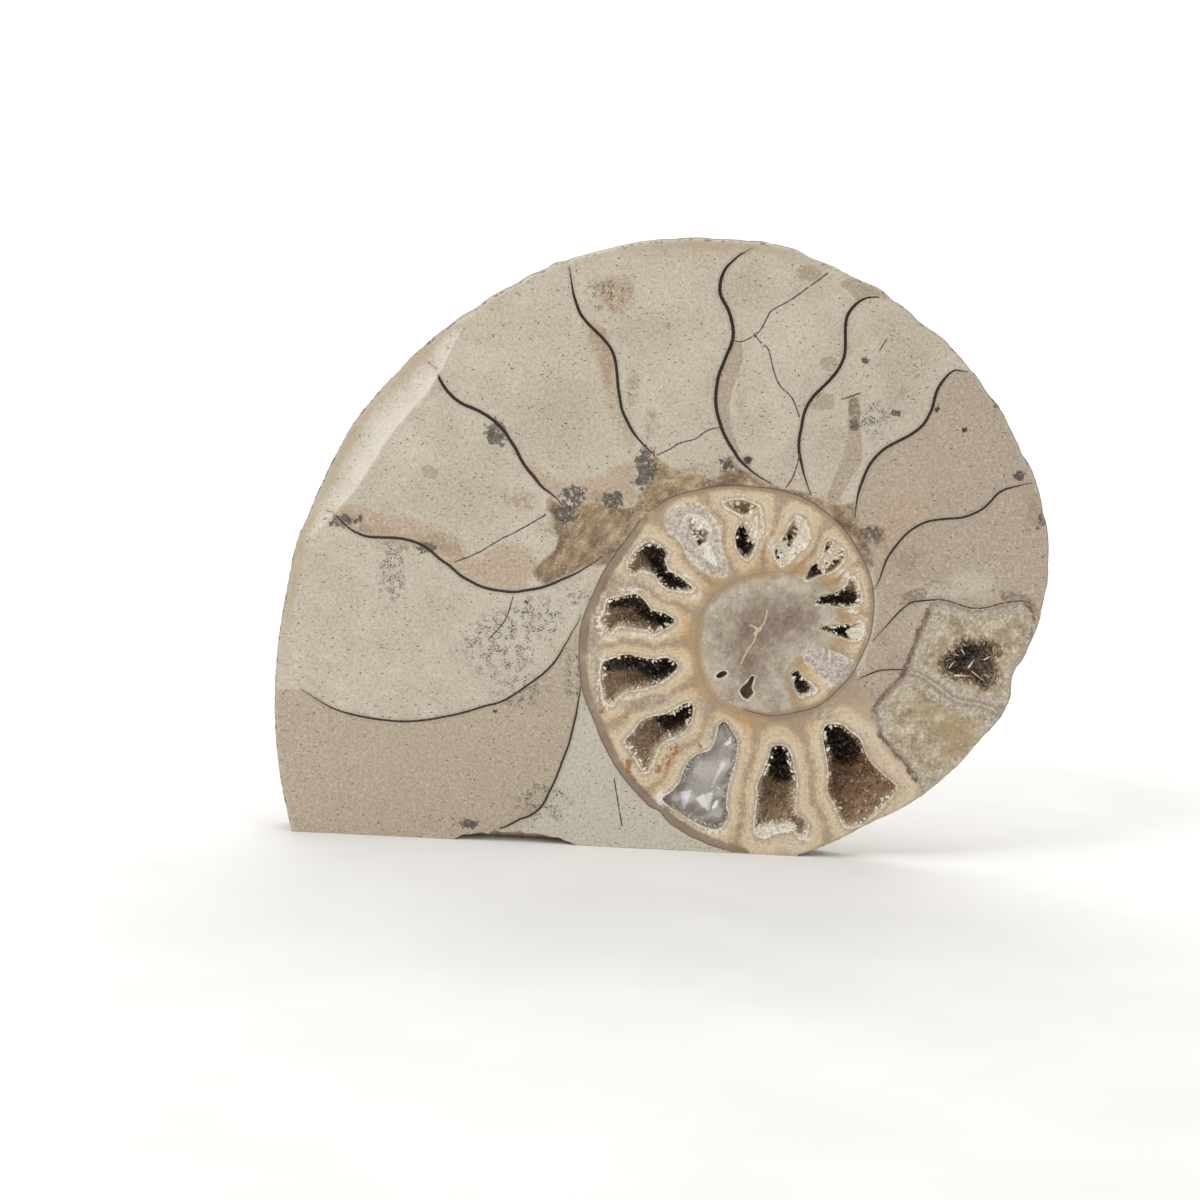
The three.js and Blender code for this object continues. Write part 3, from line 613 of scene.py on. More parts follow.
septa = [(half_width, smooth_line(marks, LINE_STEP)) for half_width, marks in SEPTA]
borders = curves(BROWN_BORDERS)
cracks = curves(CRACKS)
seams = curves([SEAM_OUTSIDE, SEAM_INSIDE])
vein = curves([CORE_VEIN, *CORE_TWIGS])
tan_patches = curves(TAN_PATCHES, closed=True)
pink_patches = curves(PINK_PATCHES, closed=True)
umber_patches = curves(UMBER_PATCHES, closed=True)
geodes = curves([UPPER_GEODE, LOWER_GEODE], closed=True)
amber, grey_geode, agate, core, wedge = curves([AMBER, GREY_GEODE, AGATE, CORE, WEDGE], closed=True)
pink_chambers = spaced(on_face(PINK_CHAMBERS), LINE_STEP, closed=True)
lower_chamber = spaced(on_face(LOWER_CHAMBER), LINE_STEP, closed=True)
crystal_zone = spaced(
    on_face(SEAM_OUTSIDE + [(785, 866), (860, 842), (903, 811)] + AMBER_BORDER[::-1]
            + [(866, 692), (858, 680), (857, 667)] + SEAM_INSIDE[-10::-1]),
    LINE_STEP, closed=True)
print(len(septa), "septa and", len(cracks), "cracks")

# %% [markdown]
# ## The mesh of the stone
#
# One closed mesh is the whole stone. Its front is the flat face, which turns over a polished bevel
# into the worn wall of the rim, and the wall meets the ribbed flank behind. Grinding rounded the
# upper left edge much more than the rest. Inside each mouth the face drops into a pocket that the
# crystals will hide.

# %% Build the columns from the face to the back
BEVEL = 0.9
WIDE_BEVEL = 8.4
WIDE_BEVEL_AT = math.radians(155)
WIDE_BEVEL_SPREAD = 0.27
BEVEL_SLOPE = 0.26
WIDE_BEVEL_SEEN = 0.02
SAWN_EDGE = 0.18
BEVEL_ROWS = 6
WALL_ROWS = 9
CORNER_FADE = 3
RIM_WEAR = 0.22
RIM_DENTS = 0.3
CHIP_RAGGED = 0.35
CHIP_FULLNESS = 0.6
KEEL_GROOVE_AT = 4.2
KEEL_GROOVE_WIDTH = 1.3
KEEL_GROOVE = 0.8
FACET_BEND = 0.2


def roughness_at(points, depth, scale, seed):
    """Smooth random unevenness from about -1 to 1 at places on or behind the face."""
    places = np.column_stack([points, np.broadcast_to(depth, len(points))]) * scale
    return np.array([noise.noise(Vector(p) + Vector((seed, 0, 0))) for p in places])


on_rim = np.arange(len(outline)) < len(rim)
from_corner = np.minimum(np.hypot(*(outline - rim[0]).T), np.hypot(*(outline - rim[-1]).T))
corner_share = smoothstep(from_corner, 0, CORNER_FADE)
toward_centre = CENTRE - outline
toward_centre /= np.hypot(*toward_centre.T)[:, None]
inward = np.where(on_rim[:, None], toward_centre, [[0, 1]])
wide = np.exp(-(((polar(outline)[0] - WIDE_BEVEL_AT) / WIDE_BEVEL_SPREAD) ** 4))
bevel = np.where(on_rim, SAWN_EDGE + (BEVEL - SAWN_EDGE + WIDE_BEVEL * wide) * corner_share, SAWN_EDGE)
drop = np.where(wide > WIDE_BEVEL_SEEN, np.maximum(BEVEL, bevel * BEVEL_SLOPE), bevel)
drop = np.where(on_rim, drop, SAWN_EDGE)
worn = RIM_WEAR * roughness_at(outline, 0, 0.55, 3) * corner_share * on_rim
outline = outline + inward * np.maximum(worn, 0)[:, None]
back_depth = flank(outline)[0]
chip_share = np.clip((outline[:, 0] - CHIP_FROM) / (CHIP_TO - CHIP_FROM), 0, 1) * ~on_rim
ragged = 1 + CHIP_RAGGED * roughness_at(outline, 0, 0.5, 8)
chip_rise = CHIP_HEIGHT * np.sin(np.pi * chip_share) ** CHIP_FULLNESS * ragged

facet = smoothstep(bevel, BEVEL, 3 * BEVEL)
rows = []
for row in range(BEVEL_ROWS + WALL_ROWS + 1):
    if row <= BEVEL_ROWS:
        share = row / BEVEL_ROWS
        turned = share * math.pi / 2
        inset = bevel * (1 - math.sin(turned) + facet * (math.sin(turned) - share))
        flat_drop = (1 - FACET_BEND) * share + FACET_BEND * share**4
        depth = drop * (1 - math.cos(turned) + facet * (flat_drop - 1 + math.cos(turned)))
    else:
        share = (row - BEVEL_ROWS) / WALL_ROWS
        depth = drop + (back_depth - drop) * share
        keel = KEEL_GROOVE * np.exp(-(((depth - KEEL_GROOVE_AT) / KEEL_GROOVE_WIDTH) ** 2))
        fade = corner_share * on_rim * math.sin(math.pi * share) ** 0.5
        inset = fade * (keel + RIM_DENTS * (1 + roughness_at(outline, depth, 0.45, 5)))
    flake = chip_rise * (1 - smoothstep(depth, 0.5, CHIP_DEPTH))
    place = outline + inward * np.reshape(inset, (-1, 1)) + np.column_stack([0 * flake, flake])
    rows.append(np.column_stack([place[:, 0], np.broadcast_to(depth, len(place)), place[:, 1]]))
front_loop = rows[0][:, [0, 2]]
print(len(rows), "rows of", len(outline), "points; thickest edge", back_depth.max().round(1), "mm")

# %% [markdown]
# The face comes next. Its triangulation follows the front loop, every mouth, and every line that
# the pattern needs. Lines stop short of the rim and the mouths, so that they add no corner there.

# %% Triangulate the face and the back
FACE_STEP = 1.1
BACK_STEP = 0.9
LINE_MARGIN = 0.55
SEAM_MARGIN = 0.8
SEAM_TURN_STEP = 0.012
SMOOTH_BY_RIM = 2
WEATHERING = [(0.16, 0.3, 21), (0.07, 1.1, 22)]


def inset_loop(loop, distance):
    ahead, behind = np.roll(loop, -1, axis=0), np.roll(loop, 1, axis=0)
    along = ahead - behind
    along /= np.hypot(*along.T)[:, None]
    side = np.column_stack([-along[:, 1], along[:, 0]])
    turned = np.sum(loop[:, 0] * ahead[:, 1] - ahead[:, 0] * loop[:, 1])
    return loop + side * distance * np.sign(turned)


mouth_loops = [hollow["loop"] for hollow in HOLLOWS + PITS]
inset_loops = [inset_loop(loop, WALL_INSET) for loop in mouth_loops]
closed = [crystal_zone, *geodes, grey_geode, agate, core, amber, *tan_patches, *umber_patches]
pattern = [line for _, line in septa] + cracks + seams + vein + borders
pattern += [np.vstack([line, line[:1]]) for line in closed]
barred = [front_loop, *mouth_loops]
lines = [part for line in pattern for part in keep_clear(line, barred, LINE_MARGIN)]
lines = [part for part in lines if inside(part[:1], front_loop)[0]]
lines = [part for part in lines if not any(inside(part[:1], loop)[0] for loop in mouth_loops)]
face_flat, face_triangles, placed = triangulate(
    [front_loop, *mouth_loops, *inset_loops], lines, FACE_STEP, seed=11)
face_depth = np.zeros(len(face_flat))
mouth_rims = np.concatenate(placed[: len(mouth_loops) + 1])
for hollow in HOLLOWS + PITS:
    sunk = inside(face_flat, hollow["loop"])
    sunk[mouth_rims] = False
    face_depth[sunk] = hollow_floor(hollow, face_flat[sunk]) + BEHIND_CRUST

seam_angles = np.arange(WHORL_START - 3 * TURN, WHORL_START + TURN, SEAM_TURN_STEP)
seam_reach = seam_radius(seam_angles)
spiral = CENTRE + np.column_stack([np.cos(seam_angles), np.sin(seam_angles)]) * seam_reach[:, None]
spiral = spaced(spiral, BACK_STEP)
spiral_parts = keep_clear(spiral, [outline], SEAM_MARGIN)
spiral_parts = [part for part in spiral_parts if inside(part[:1], outline)[0]]
back_flat, back_triangles, (back_rim,) = triangulate([outline], spiral_parts, BACK_STEP, seed=12)
back_flank, back_crest = flank(back_flat)
weathered = sum(size * roughness_at(back_flat, 0, scale, seed) for size, scale, seed in WEATHERING)
off_rim = smoothstep(nearest(back_flat, outline, closed=True)[0], 0, SMOOTH_BY_RIM)
back_flank += weathered * off_rim
print(len(face_triangles), "triangles on the face and", len(back_triangles), "on the flank")

# %% [markdown]
# ## Painting with numbers
#
# Each vertex now learns a few numbers about its place: the distance to a septum, how far inside the
# crystal zone it lies, how strongly a stain reaches it. Materials read these numbers and break them
# up with noise, so no picture is needed. Stains are soft spots: centre and half sizes on the sheet.

# %% Marks for stains and clouds
BROWN_STAINS = [
    (606, 365, 9, 32), (597, 340, 14, 12), (632, 392, 8, 34), (350, 520, 26, 10), (372, 530, 22, 8),
    (398, 546, 30, 9), (440, 545, 30, 16), (905, 560, 24, 26), (903, 597, 14, 6), (1012, 597, 12, 6),
    (868, 291, 20, 6), (1032, 512, 9, 16), (1014, 478, 10, 6), (805, 277, 9, 5), (855, 425, 5, 9),
    (862, 362, 5, 5), (560, 525, 30, 16), (600, 505, 36, 18), (650, 428, 9, 18), (728, 466, 9, 10),
    (462, 824, 16, 7), (870, 700, 12, 22), (893, 660, 14, 10), (885, 640, 12, 10),
    (846, 520, 14, 18), (880, 540, 14, 12), (668, 330, 10, 6),
    (660, 478, 40, 14), (700, 472, 30, 10), (900, 395, 12, 9), (300, 548, 5, 10), (520, 500, 22, 14),
]
OCHRE_STAINS = [
    (622, 500, 34, 16), (580, 530, 24, 14), (660, 487, 34, 10), (700, 480, 36, 8), (770, 480, 40, 6),
    (830, 500, 20, 10), (852, 528, 10, 14), (644, 470, 16, 20), (552, 568, 30, 8), (590, 552, 22, 8),
    (738, 470, 6, 14), (740, 400, 7, 46), (585, 700, 4, 26), (590, 600, 5, 22), (740, 345, 5, 18),
]
GREY_STAINS = [
    (497, 434, 10, 14), (345, 520, 16, 7), (425, 548, 13, 6), (566, 514, 12, 14), (644, 468, 11, 22),
    (728, 465, 8, 9), (873, 534, 12, 7), (466, 826, 12, 6), (1016, 477, 7, 5), (852, 425, 5, 7),
    (895, 415, 5, 5), (862, 362, 5, 4), (575, 495, 14, 8), (1040, 520, 4, 10), (613, 500, 12, 10),
]
MILKY_CLOUDS = [
    (606, 588, 18, 26), (594, 640, 12, 36), (600, 690, 12, 34), (632, 586, 26, 8),
    (617, 545, 18, 16), (772, 694, 30, 20), (710, 700, 16, 20), (655, 700, 26, 7), (672, 810, 16, 10),
    (716, 735, 10, 14), (812, 715, 30, 8), (835, 655, 22, 14), (640, 706, 22, 8), (724, 598, 26, 14),
]
WHITE_FLAKES = [
    (614, 552, 7, 7), (603, 588, 5, 20), (600, 622, 6, 16), (607, 640, 12, 7), (603, 676, 5, 34),
    (640, 636, 26, 4), (606, 706, 8, 7), (624, 588, 18, 5), (640, 700, 18, 4), (688, 566, 8, 14),
    (668, 640, 14, 5), (744, 700, 20, 7), (700, 640, 8, 30), (812, 655, 10, 4), (790, 712, 14, 4),
    (660, 798, 10, 10), (716, 832, 12, 5), (805, 840, 8, 6), (790, 575, 26, 4), (700, 606, 12, 14),
    (852, 612, 8, 4), (842, 573, 8, 8), (770, 540, 4, 16), (718, 520, 8, 6), (866, 634, 4, 8),
]
PALE_CLOUDS = [
    (650, 300, 50, 22), (790, 330, 26, 40), (780, 430, 20, 30), (470, 360, 50, 30), (950, 592, 50, 7),
    (400, 450, 40, 30), (620, 820, 60, 40), (560, 620, 30, 30), (972, 582, 30, 18), (690, 380, 26, 40),
    (860, 370, 24, 40),
]
PINK_CLOUDS = [
    (900, 360, 50, 50), (960, 440, 50, 50), (900, 480, 50, 60), (560, 420, 60, 50), (640, 330, 40, 40),
    (740, 290, 30, 30), (700, 400, 30, 50), (830, 450, 30, 40), (920, 620, 30, 40), (470, 500, 60, 40),
]
DENDRITES = [
    (500, 645, 34, 30), (536, 618, 24, 20), (393, 575, 12, 30), (543, 805, 26, 18), (578, 598, 12, 7),
    (520, 690, 26, 16), (574, 675, 9, 26), (872, 422, 12, 16), (610, 300, 20, 16),
]
RUST_SPOTS = [
    (602, 711, 4, 3), (629, 766, 4, 9), (675, 750, 6, 6), (660, 770, 4, 6), (605, 588, 2, 5),
    (594, 612, 2, 4), (668, 762, 4, 5), (700, 748, 3, 3),
]
GEODE_HEARTS = [(955, 735, 24, 26), (932, 712, 14, 12), (1004, 634, 8, 6), (942, 664, 10, 14)]
LEFT_RIM = [(340, 450, 60, 80), (300, 560, 40, 70), (410, 365, 60, 50), (700, 248, 90, 12)]
DARK_SPOTS = [
    (935, 411, 3.4), (962, 431, 3.2), (495, 712, 3.2), (526, 602, 2.6), (747, 461, 4.2),
    (993, 407, 3.0), (892, 320, 2.0), (720, 490, 3.0), (728, 487, 2.6),
]
SPOT_FALL = 0.7
LINE_END_WIDTH = 0.3
TAPER_OVER = 0.2


def soft_spots(points, marks):
    """The strongest of several soft spots at each point, from 0 to 1."""
    strength = np.zeros(len(points))
    middles = on_face([(u, v) for u, v, *_ in marks])
    for (x, z), (_, _, *half) in zip(middles, marks):
        wide_mm, high_mm = np.array(half) * SHEET_MM
        away = ((points[:, 0] - x) / wide_mm) ** 2 + ((points[:, 1] - z) / high_mm) ** 2
        strength = np.maximum(strength, np.exp(-away * SPOT_FALL))
    return strength


def edge_of_lines(points, thick_lines):
    """Distance outside the nearest line's edge, negative on the line. Lines thin toward both ends."""
    best = np.full(len(points), np.inf)
    for half_width, line in thick_lines:
        gap, place = nearest(points, line)
        full = smoothstep(np.minimum(place, 1 - place), 0, TAPER_OVER)
        taper = LINE_END_WIDTH + (1 - LINE_END_WIDTH) * full
        best = np.minimum(best, gap - half_width * taper)
    return best


def distance_to_any(points, many, closed=False):
    return np.min([nearest(points, line, closed)[0] for line in many], axis=0)


NEAR_LINES = {"crack": cracks, "vein": vein, "shell": seams, "border": borders}
WITHIN = {
    "zone": [crystal_zone], "geode": geodes, "grey_geode": [grey_geode], "agate": [agate],
    "core": [core], "wedge": [wedge], "amber": [amber], "tan": tan_patches,
    "pink_patch": pink_patches, "umber": umber_patches, "pink_chamber": [pink_chambers],
    "lower_chamber": [lower_chamber],
}
SOFT_SPOTS = {
    "brown": BROWN_STAINS, "ochre": OCHRE_STAINS, "smudge": GREY_STAINS, "milky": MILKY_CLOUDS,
    "pale": PALE_CLOUDS, "pink": PINK_CLOUDS, "dendrite": DENDRITES, "rust": RUST_SPOTS,
    "geode_heart": GEODE_HEARTS, "flake": WHITE_FLAKES, "left_rim": LEFT_RIM,
}


def depth_inside_any(points, loops):
    return np.max([depth_inside(points, loop) for loop in loops], axis=0)


def face_numbers(points):
    """Everything that the polished stone's material wants to know about places on the face."""
    mouths = [nearest(points, hollow["loop"], closed=True)[0] for hollow in HOLLOWS]
    lined, small = mouths[:-1], mouths[-1]
    dark = [np.hypot(*(points - on_face([(u, v)])[0]).T) - r * SHEET_MM for u, v, r in DARK_SPOTS]
    return {
        "septum": edge_of_lines(points, septa),
        "bearing": polar(points)[0],
        "even_mouth": np.min(lined[0::2], axis=0),
        "odd_mouth": np.min(lined[1::2], axis=0),
        "vug": small,
        "pit": distance_to_any(points, [pit["loop"] for pit in PITS], closed=True),
        "rim_gap": nearest(points, rim)[0],
        "spot": np.min(dark, axis=0),
        "outer_seam": nearest(points, seams[0])[0],
        **{name: distance_to_any(points, many) for name, many in NEAR_LINES.items()},
        **{name: depth_inside_any(points, loops) for name, loops in WITHIN.items()},
        **{name: soft_spots(points, marks) for name, marks in SOFT_SPOTS.items()},
    }


print(sum(len(marks) for marks in SOFT_SPOTS.values()), "soft spots marked")

# %% [markdown]
# With the face, the rows of the edge and the back in hand, the stone is sewn together. The first
# and last rows of the edge share their vertices with the face and the back, so the mesh is closed.
# Three finishes meet on it: polished stone, natural shell, and the sawn base.

# %% Sew the stone together
POLISHED, NATURAL, SAWN = 0, 1, 2


def make_piece(name, places_mm, faces, materials=(), material_of=None):
    """A mesh object from places in millimetres behind the face's lower corner."""
    places = np.array(places_mm, float) * MM
    places[:, 1] += stone_low[1]
    places = np.clip(places, np.array(stone_low), np.array(stone_high))
    mesh = bpy.data.meshes.new(name)
    mesh.from_pydata(places.tolist(), [], [list(map(int, face)) for face in faces])
    for material in materials:
        mesh.materials.append(material)
    if material_of is not None:
        mesh.polygons.foreach_set("material_index", np.array(material_of, np.int32))
    mesh.validate()
    piece = bpy.data.objects.new(name, mesh)
    bpy.context.collection.objects.link(piece)
    return piece


def store(piece, numbers):
    for name, values in numbers.items():
        kept = piece.data.attributes.new(name, "FLOAT", "POINT")
        kept.data.foreach_set("value", np.array(values, np.float32))


count = len(outline)
face_count = len(face_flat)
row_ids = [placed[0]]
stone_places = [np.column_stack([face_flat[:, 0], face_depth, face_flat[:, 1]])]
start = face_count
for row in rows[1:-1]:
    row_ids.append(np.arange(start, start + count))
    stone_places.append(row)
    start += count
row_ids.append(start + back_rim)
stone_places.append(np.column_stack([back_flat[:, 0], back_flank, back_flat[:, 1]]))
stone_places = np.vstack(stone_places)

stone_faces = [tuple(t) for t in face_triangles]
finish_of = [POLISHED] * len(stone_faces)
for row, (front, behind) in enumerate(zip(row_ids, row_ids[1:])):
    for i in range(count):
        j = (i + 1) % count
        stone_faces.append((front[i], behind[i], behind[j], front[j]))
        sawn = i >= len(rim) - 1
        polished = row < BEVEL_ROWS and not sawn
        finish_of.append(POLISHED if polished else SAWN if sawn else NATURAL)
stone_faces += [tuple(t[::-1] + start) for t in back_triangles]
finish_of += [NATURAL] * len(back_triangles)

polished_ids = np.unique(np.concatenate([np.arange(face_count), *row_ids[1 : BEVEL_ROWS + 1]]))
numbers = {}
for name, values in face_numbers(stone_places[polished_ids][:, [0, 2]]).items():
    numbers[name] = np.zeros(len(stone_places))
    numbers[name][polished_ids] = values
section, share = across_whorl(stone_places[:, [0, 2]])
numbers["sunk"] = np.where(np.arange(len(stone_places)) < face_count, stone_places[:, 1], 0)
numbers["rib_phase"] = (section - WHORL_START) * RIBS_PER_TURN
numbers["rib_crest"] = np.concatenate([np.zeros(start), back_crest])
numbers["back_seam"] = nearest(stone_places[:, [0, 2]], spiral)[0]
# how far into the wide bevel a place lies, for the painted highlight on it
numbers["facet"] = np.zeros(len(stone_places))
for row, ids in enumerate(row_ids[:BEVEL_ROWS]):
    numbers["facet"][ids] = wide * (1 - row / BEVEL_ROWS)
print(len(stone_faces), "faces on the stone")

# %% [markdown]
# ## A small language for materials
#
# Materials are node trees. To keep them readable, one class wraps a socket so that sums are written
# as sums, and another wraps a material and adds any node by its type, settings and inputs. Colours
# are blended by Mix nodes. All noises are laid out in millimetres on the object.

# %% Sockets that do arithmetic
def srgb(red, green, blue):
    """A colour as seen on a screen, 0 to 255, turned into the linear values that Blender mixes."""
    parts = [c / 255 for c in (red, green, blue)]
    return (*[c / 12.92 if c <= 0.04045 else ((c + 0.055) / 1.055) ** 2.4 for c in parts], 1)


class Field:
    """One socket of a material. Arithmetic on it adds the Math nodes."""

    def __init__(self, finish, socket):
        self.finish = finish
        self.socket = socket

    def math(self, operation, *others, flipped=False):
        values = (*others, self) if flipped else (self, *others)
        return self.finish.node("ShaderNodeMath", {"operation": operation}, dict(enumerate(values)))

    def __add__(self, other):
        return self.math("ADD", other)

    def __mul__(self, other):
        return self.math("MULTIPLY", other)

    def __sub__(self, other):
        return self.math("SUBTRACT", other)

    def __rsub__(self, other):
        return self.math("SUBTRACT", other, flipped=True)

    def __truediv__(self, other):
        return self.math("DIVIDE", other)

    __radd__ = __add__
    __rmul__ = __mul__

    def least(self, other):
        return self.math("MINIMUM", other)

    def most(self, other):
        return self.math("MAXIMUM", other)

    def size(self):
        return self.math("ABSOLUTE")

    def between(self, low, high):
        """0 below low and 1 above high, smooth between. It falls where low is the larger."""
        settings = {"interpolation_type": "SMOOTHSTEP"}
        ends = {"Value": self, "From Min": low, "From Max": high}
        return self.finish.node("ShaderNodeMapRange", settings, ends)


class Finish:
    """One material, built node by node."""

    def __init__(self, name, **constants):
        self.material = bpy.data.materials.new(name)
        self.material.use_nodes = True
        self.tree = self.material.node_tree
        self.shader = self.tree.nodes["Principled BSDF"]
        for key, value in constants.items():
            self.shader.inputs[key.replace("_", " ")].default_value = value
        object_place = self.node("ShaderNodeTexCoord", output="Object")
        self.place = self.node("ShaderNodeVectorMath", {"operation": "SCALE"},
                               {"Vector": object_place, "Scale": 1 / MM})

    def node(self, kind, settings=None, inputs=None, output=0):
        made = self.tree.nodes.new(kind)
        for key, value in (settings or {}).items():
            if key == "stops":
                self.lay_stops(made.color_ramp, value)
            else:
                setattr(made, key, value)
        for key, value in (inputs or {}).items():
            self.feed(made.inputs[key], value)
        return Field(self, made.outputs[output])

    def lay_stops(self, ramp, stops):
        while len(ramp.elements) < len(stops):
            ramp.elements.new(1)
        for element, (at, colour) in zip(ramp.elements, stops):
            element.position = at
            element.color = colour

    def feed(self, socket, value):
        if isinstance(value, Field):
            self.tree.links.new(value.socket, socket)
        else:
            socket.default_value = value

    def number(self, name):
        """A number that was stored on the mesh."""
        return self.node("ShaderNodeAttribute", {"attribute_name": name}, output="Fac")

    def noise(self, per_mm, detail=2, rough=0.5, at=None):
        inputs = {"Vector": at or self.place, "Scale": per_mm, "Detail": detail, "Roughness": rough}
        return self.node("ShaderNodeTexNoise", None, inputs)

    def cells(self, per_mm, at=None):
        """Distance to the nearest of many scattered points."""
        inputs = {"Vector": at or self.place, "Scale": per_mm}
        return self.node("ShaderNodeTexVoronoi", None, inputs, "Distance")

    def stretched(self, x, y, z):
        return self.node("ShaderNodeVectorMath", {"operation": "MULTIPLY"},
                         {0: self.place, 1: (x, y, z)})

    def turned(self, degrees, x, z):
        """The place turned in the plane of the face and then stretched."""
        inputs = {"Vector": self.place, "Rotation": (0, math.radians(degrees), 0), "Scale": (x, 1, z)}
        return self.node("ShaderNodeMapping", {"vector_type": "POINT"}, inputs)

    def blend(self, under, over, mask):
        return self.node("ShaderNodeMix", {"data_type": "RGBA"}, {0: mask, 6: under, 7: over}, 2)

    def coats(self, under, *layers):
        """Colours laid one over another, each as far as its own mask lets it show."""
        for colour, mask in layers:
            over = colour if isinstance(colour, Field) else srgb(*colour)
            under = self.blend(under, over, mask)
        return under

    def ramp(self, value, stops):
        stops = [(at, srgb(*colour)) for at, colour in stops]
        return self.node("ShaderNodeValToRGB", {"stops": stops}, {0: value})

    def bump(self, height, distance_mm, strength=1.0, under=None):
        inputs = {"Height": height, "Distance": distance_mm * MM, "Strength": strength}
        if under is not None:
            inputs["Normal"] = under
        return self.node("ShaderNodeBump", None, inputs)

    def set(self, **links):
        for key, value in links.items():
            self.feed(self.shader.inputs[key.replace("_", " ")], value)


print("materials can be written as sums now")

# %% [markdown]
# ## Polished stone
#
# The outer chambers filled with a pale limy mud that turned to stone. Its colour drifts in soft
# clouds, it is peppered with tiny dark grains, and stains follow the shell. Inside the crystal zone
# each chamber is lined in layers instead: from the wall inward a mauve line, ochre, cream, and a
# white rim of crystal at the hollow. A number that runs from 0 at a hollow to 1 at its wall gives
# the layers, and a little noise makes them waver as they do in agate.

# %% The mudstone
stone = Finish("polished_stone", IOR=1.46, Coat_Weight=0.12, Coat_Roughness=0.06)
shell_gap = stone.number("shell")
cloud = stone.noise(0.045, 4, 0.55)
drift = stone.noise(0.16, 4, 0.6)
mottle = stone.noise(0.7, 3, 0.55)
grain = stone.noise(3.2, 2, 0.5)
grit = stone.noise(1.35, 4, 0.8)
flecks = stone.noise(1.2, 4, 0.75)
waver = stone.noise(1.1, 3, 0.6)
fine = stone.noise(2.4, 2, 0.5)


def around(field, amount):
    """A noise moved to lie around zero, this far each way."""
    return (field - 0.5) * (2 * amount)


def stain(name, low, high, rough=0.7):
    """A stored soft spot whose edge is broken up by noise."""
    broken = stone.number(name) + around(drift, rough * 0.5) + around(mottle, rough * 0.3)
    return broken.between(low, high)


tone = drift * 0.6 + cloud * 0.4
mud = stone.ramp(tone, [(0.3, (180, 168, 149)), (0.5, (193, 182, 164)), (0.7, (203, 193, 175))])
pink_side = (stone.number("pink_chamber") + around(waver, 0.3)).between(-0.4, 0.4)
mud = stone.coats(
    mud,
    ((170, 153, 134), pink_side * 0.85),
    ((172, 156, 133), stone.number("lower_chamber").between(-0.3, 0.3) * 0.8),
    ((179, 164, 145), stain("pink", 0.4, 1.1) * 0.55),
    ((203, 194, 176), stain("pale", 0.4, 1.1) * 0.6),
    ((192, 186, 169), stone.number("wedge").between(-0.2, 0.3) * 0.85))
patch = stone.number("pink_patch") + around(drift, 2.2) + around(mottle, 0.9)
mud = stone.coats(
    mud,
    ((180, 157, 132), patch.between(-0.9, 1.4) * 0.8),
    ((168, 152, 131), (stone.number("tan") + around(fine, 0.25)).between(-0.1, 0.15) * 0.85),
    ((222, 214, 198), grit.between(0.5, 0.66) * 0.42),
    ((134, 119, 100), grit.between(0.5, 0.34) * 0.42),
    ((146, 120, 94), stain("brown", 0.5, 1.0, 1.3) * flecks.between(0.36, 0.58) * 0.6),
    ((162, 136, 102), stain("ochre", 0.5, 1.0, 1.3) * flecks.between(0.4, 0.6) * 0.5))
dark_crystals = stone.ramp(flecks, [
    (0.42, (58, 52, 48)), (0.54, (90, 82, 74)), (0.6, (122, 112, 101)), (0.65, (222, 215, 204))])
smudge = (stone.number("smudge") + around(mottle, 0.8) + around(flecks, 0.25)).between(0.52, 0.62)
mud = stone.blend(mud, dark_crystals, smudge * 0.88)
umber = (stone.number("umber") + around(waver, 0.5) + around(mottle, 0.6)).between(-0.3, 0.3)

# %% [markdown]
# Above the inner whorl the shell let honey-brown calcite in. It lies in streaks along the seam,
# so its noise is stretched round the middle of the spiral.

# %% The honey-brown calcite
streak_place = stone.node("ShaderNodeCombineXYZ", None, {
    0: stone.number("bearing") * 11, 1: shell_gap * 0.42, 2: waver * 0.4})
streaks = stone.noise(1, 3, 0.55, at=streak_place)
honey = stone.ramp(streaks * 0.5 + drift * 0.3 + grit * 0.2, [
    (0.38, (88, 68, 50)), (0.46, (122, 99, 72)), (0.53, (148, 124, 93)), (0.62, (190, 168, 136))])
honey = stone.coats(
    honey,
    (dark_crystals, smudge * 0.8),
    ((206, 190, 160), flecks.between(0.58, 0.64) * 0.6),
    ((74, 58, 42), flecks.between(0.41, 0.35) * 0.6))
honey_depth = stone.number("amber") + around(mottle, 0.8) + around(drift, 1.4) + around(flecks, 0.5)
mud = stone.blend(mud, honey, honey_depth.between(-0.35, 0.7) * 0.92)
print("mudstone has", len(stone.tree.nodes), "nodes")

# %% [markdown]
# Over the clouds lie the fine marks: dark grains of several shapes, branching dendrites, the thin
# dark septa between the chambers, and hairline cracks that fade in and out.

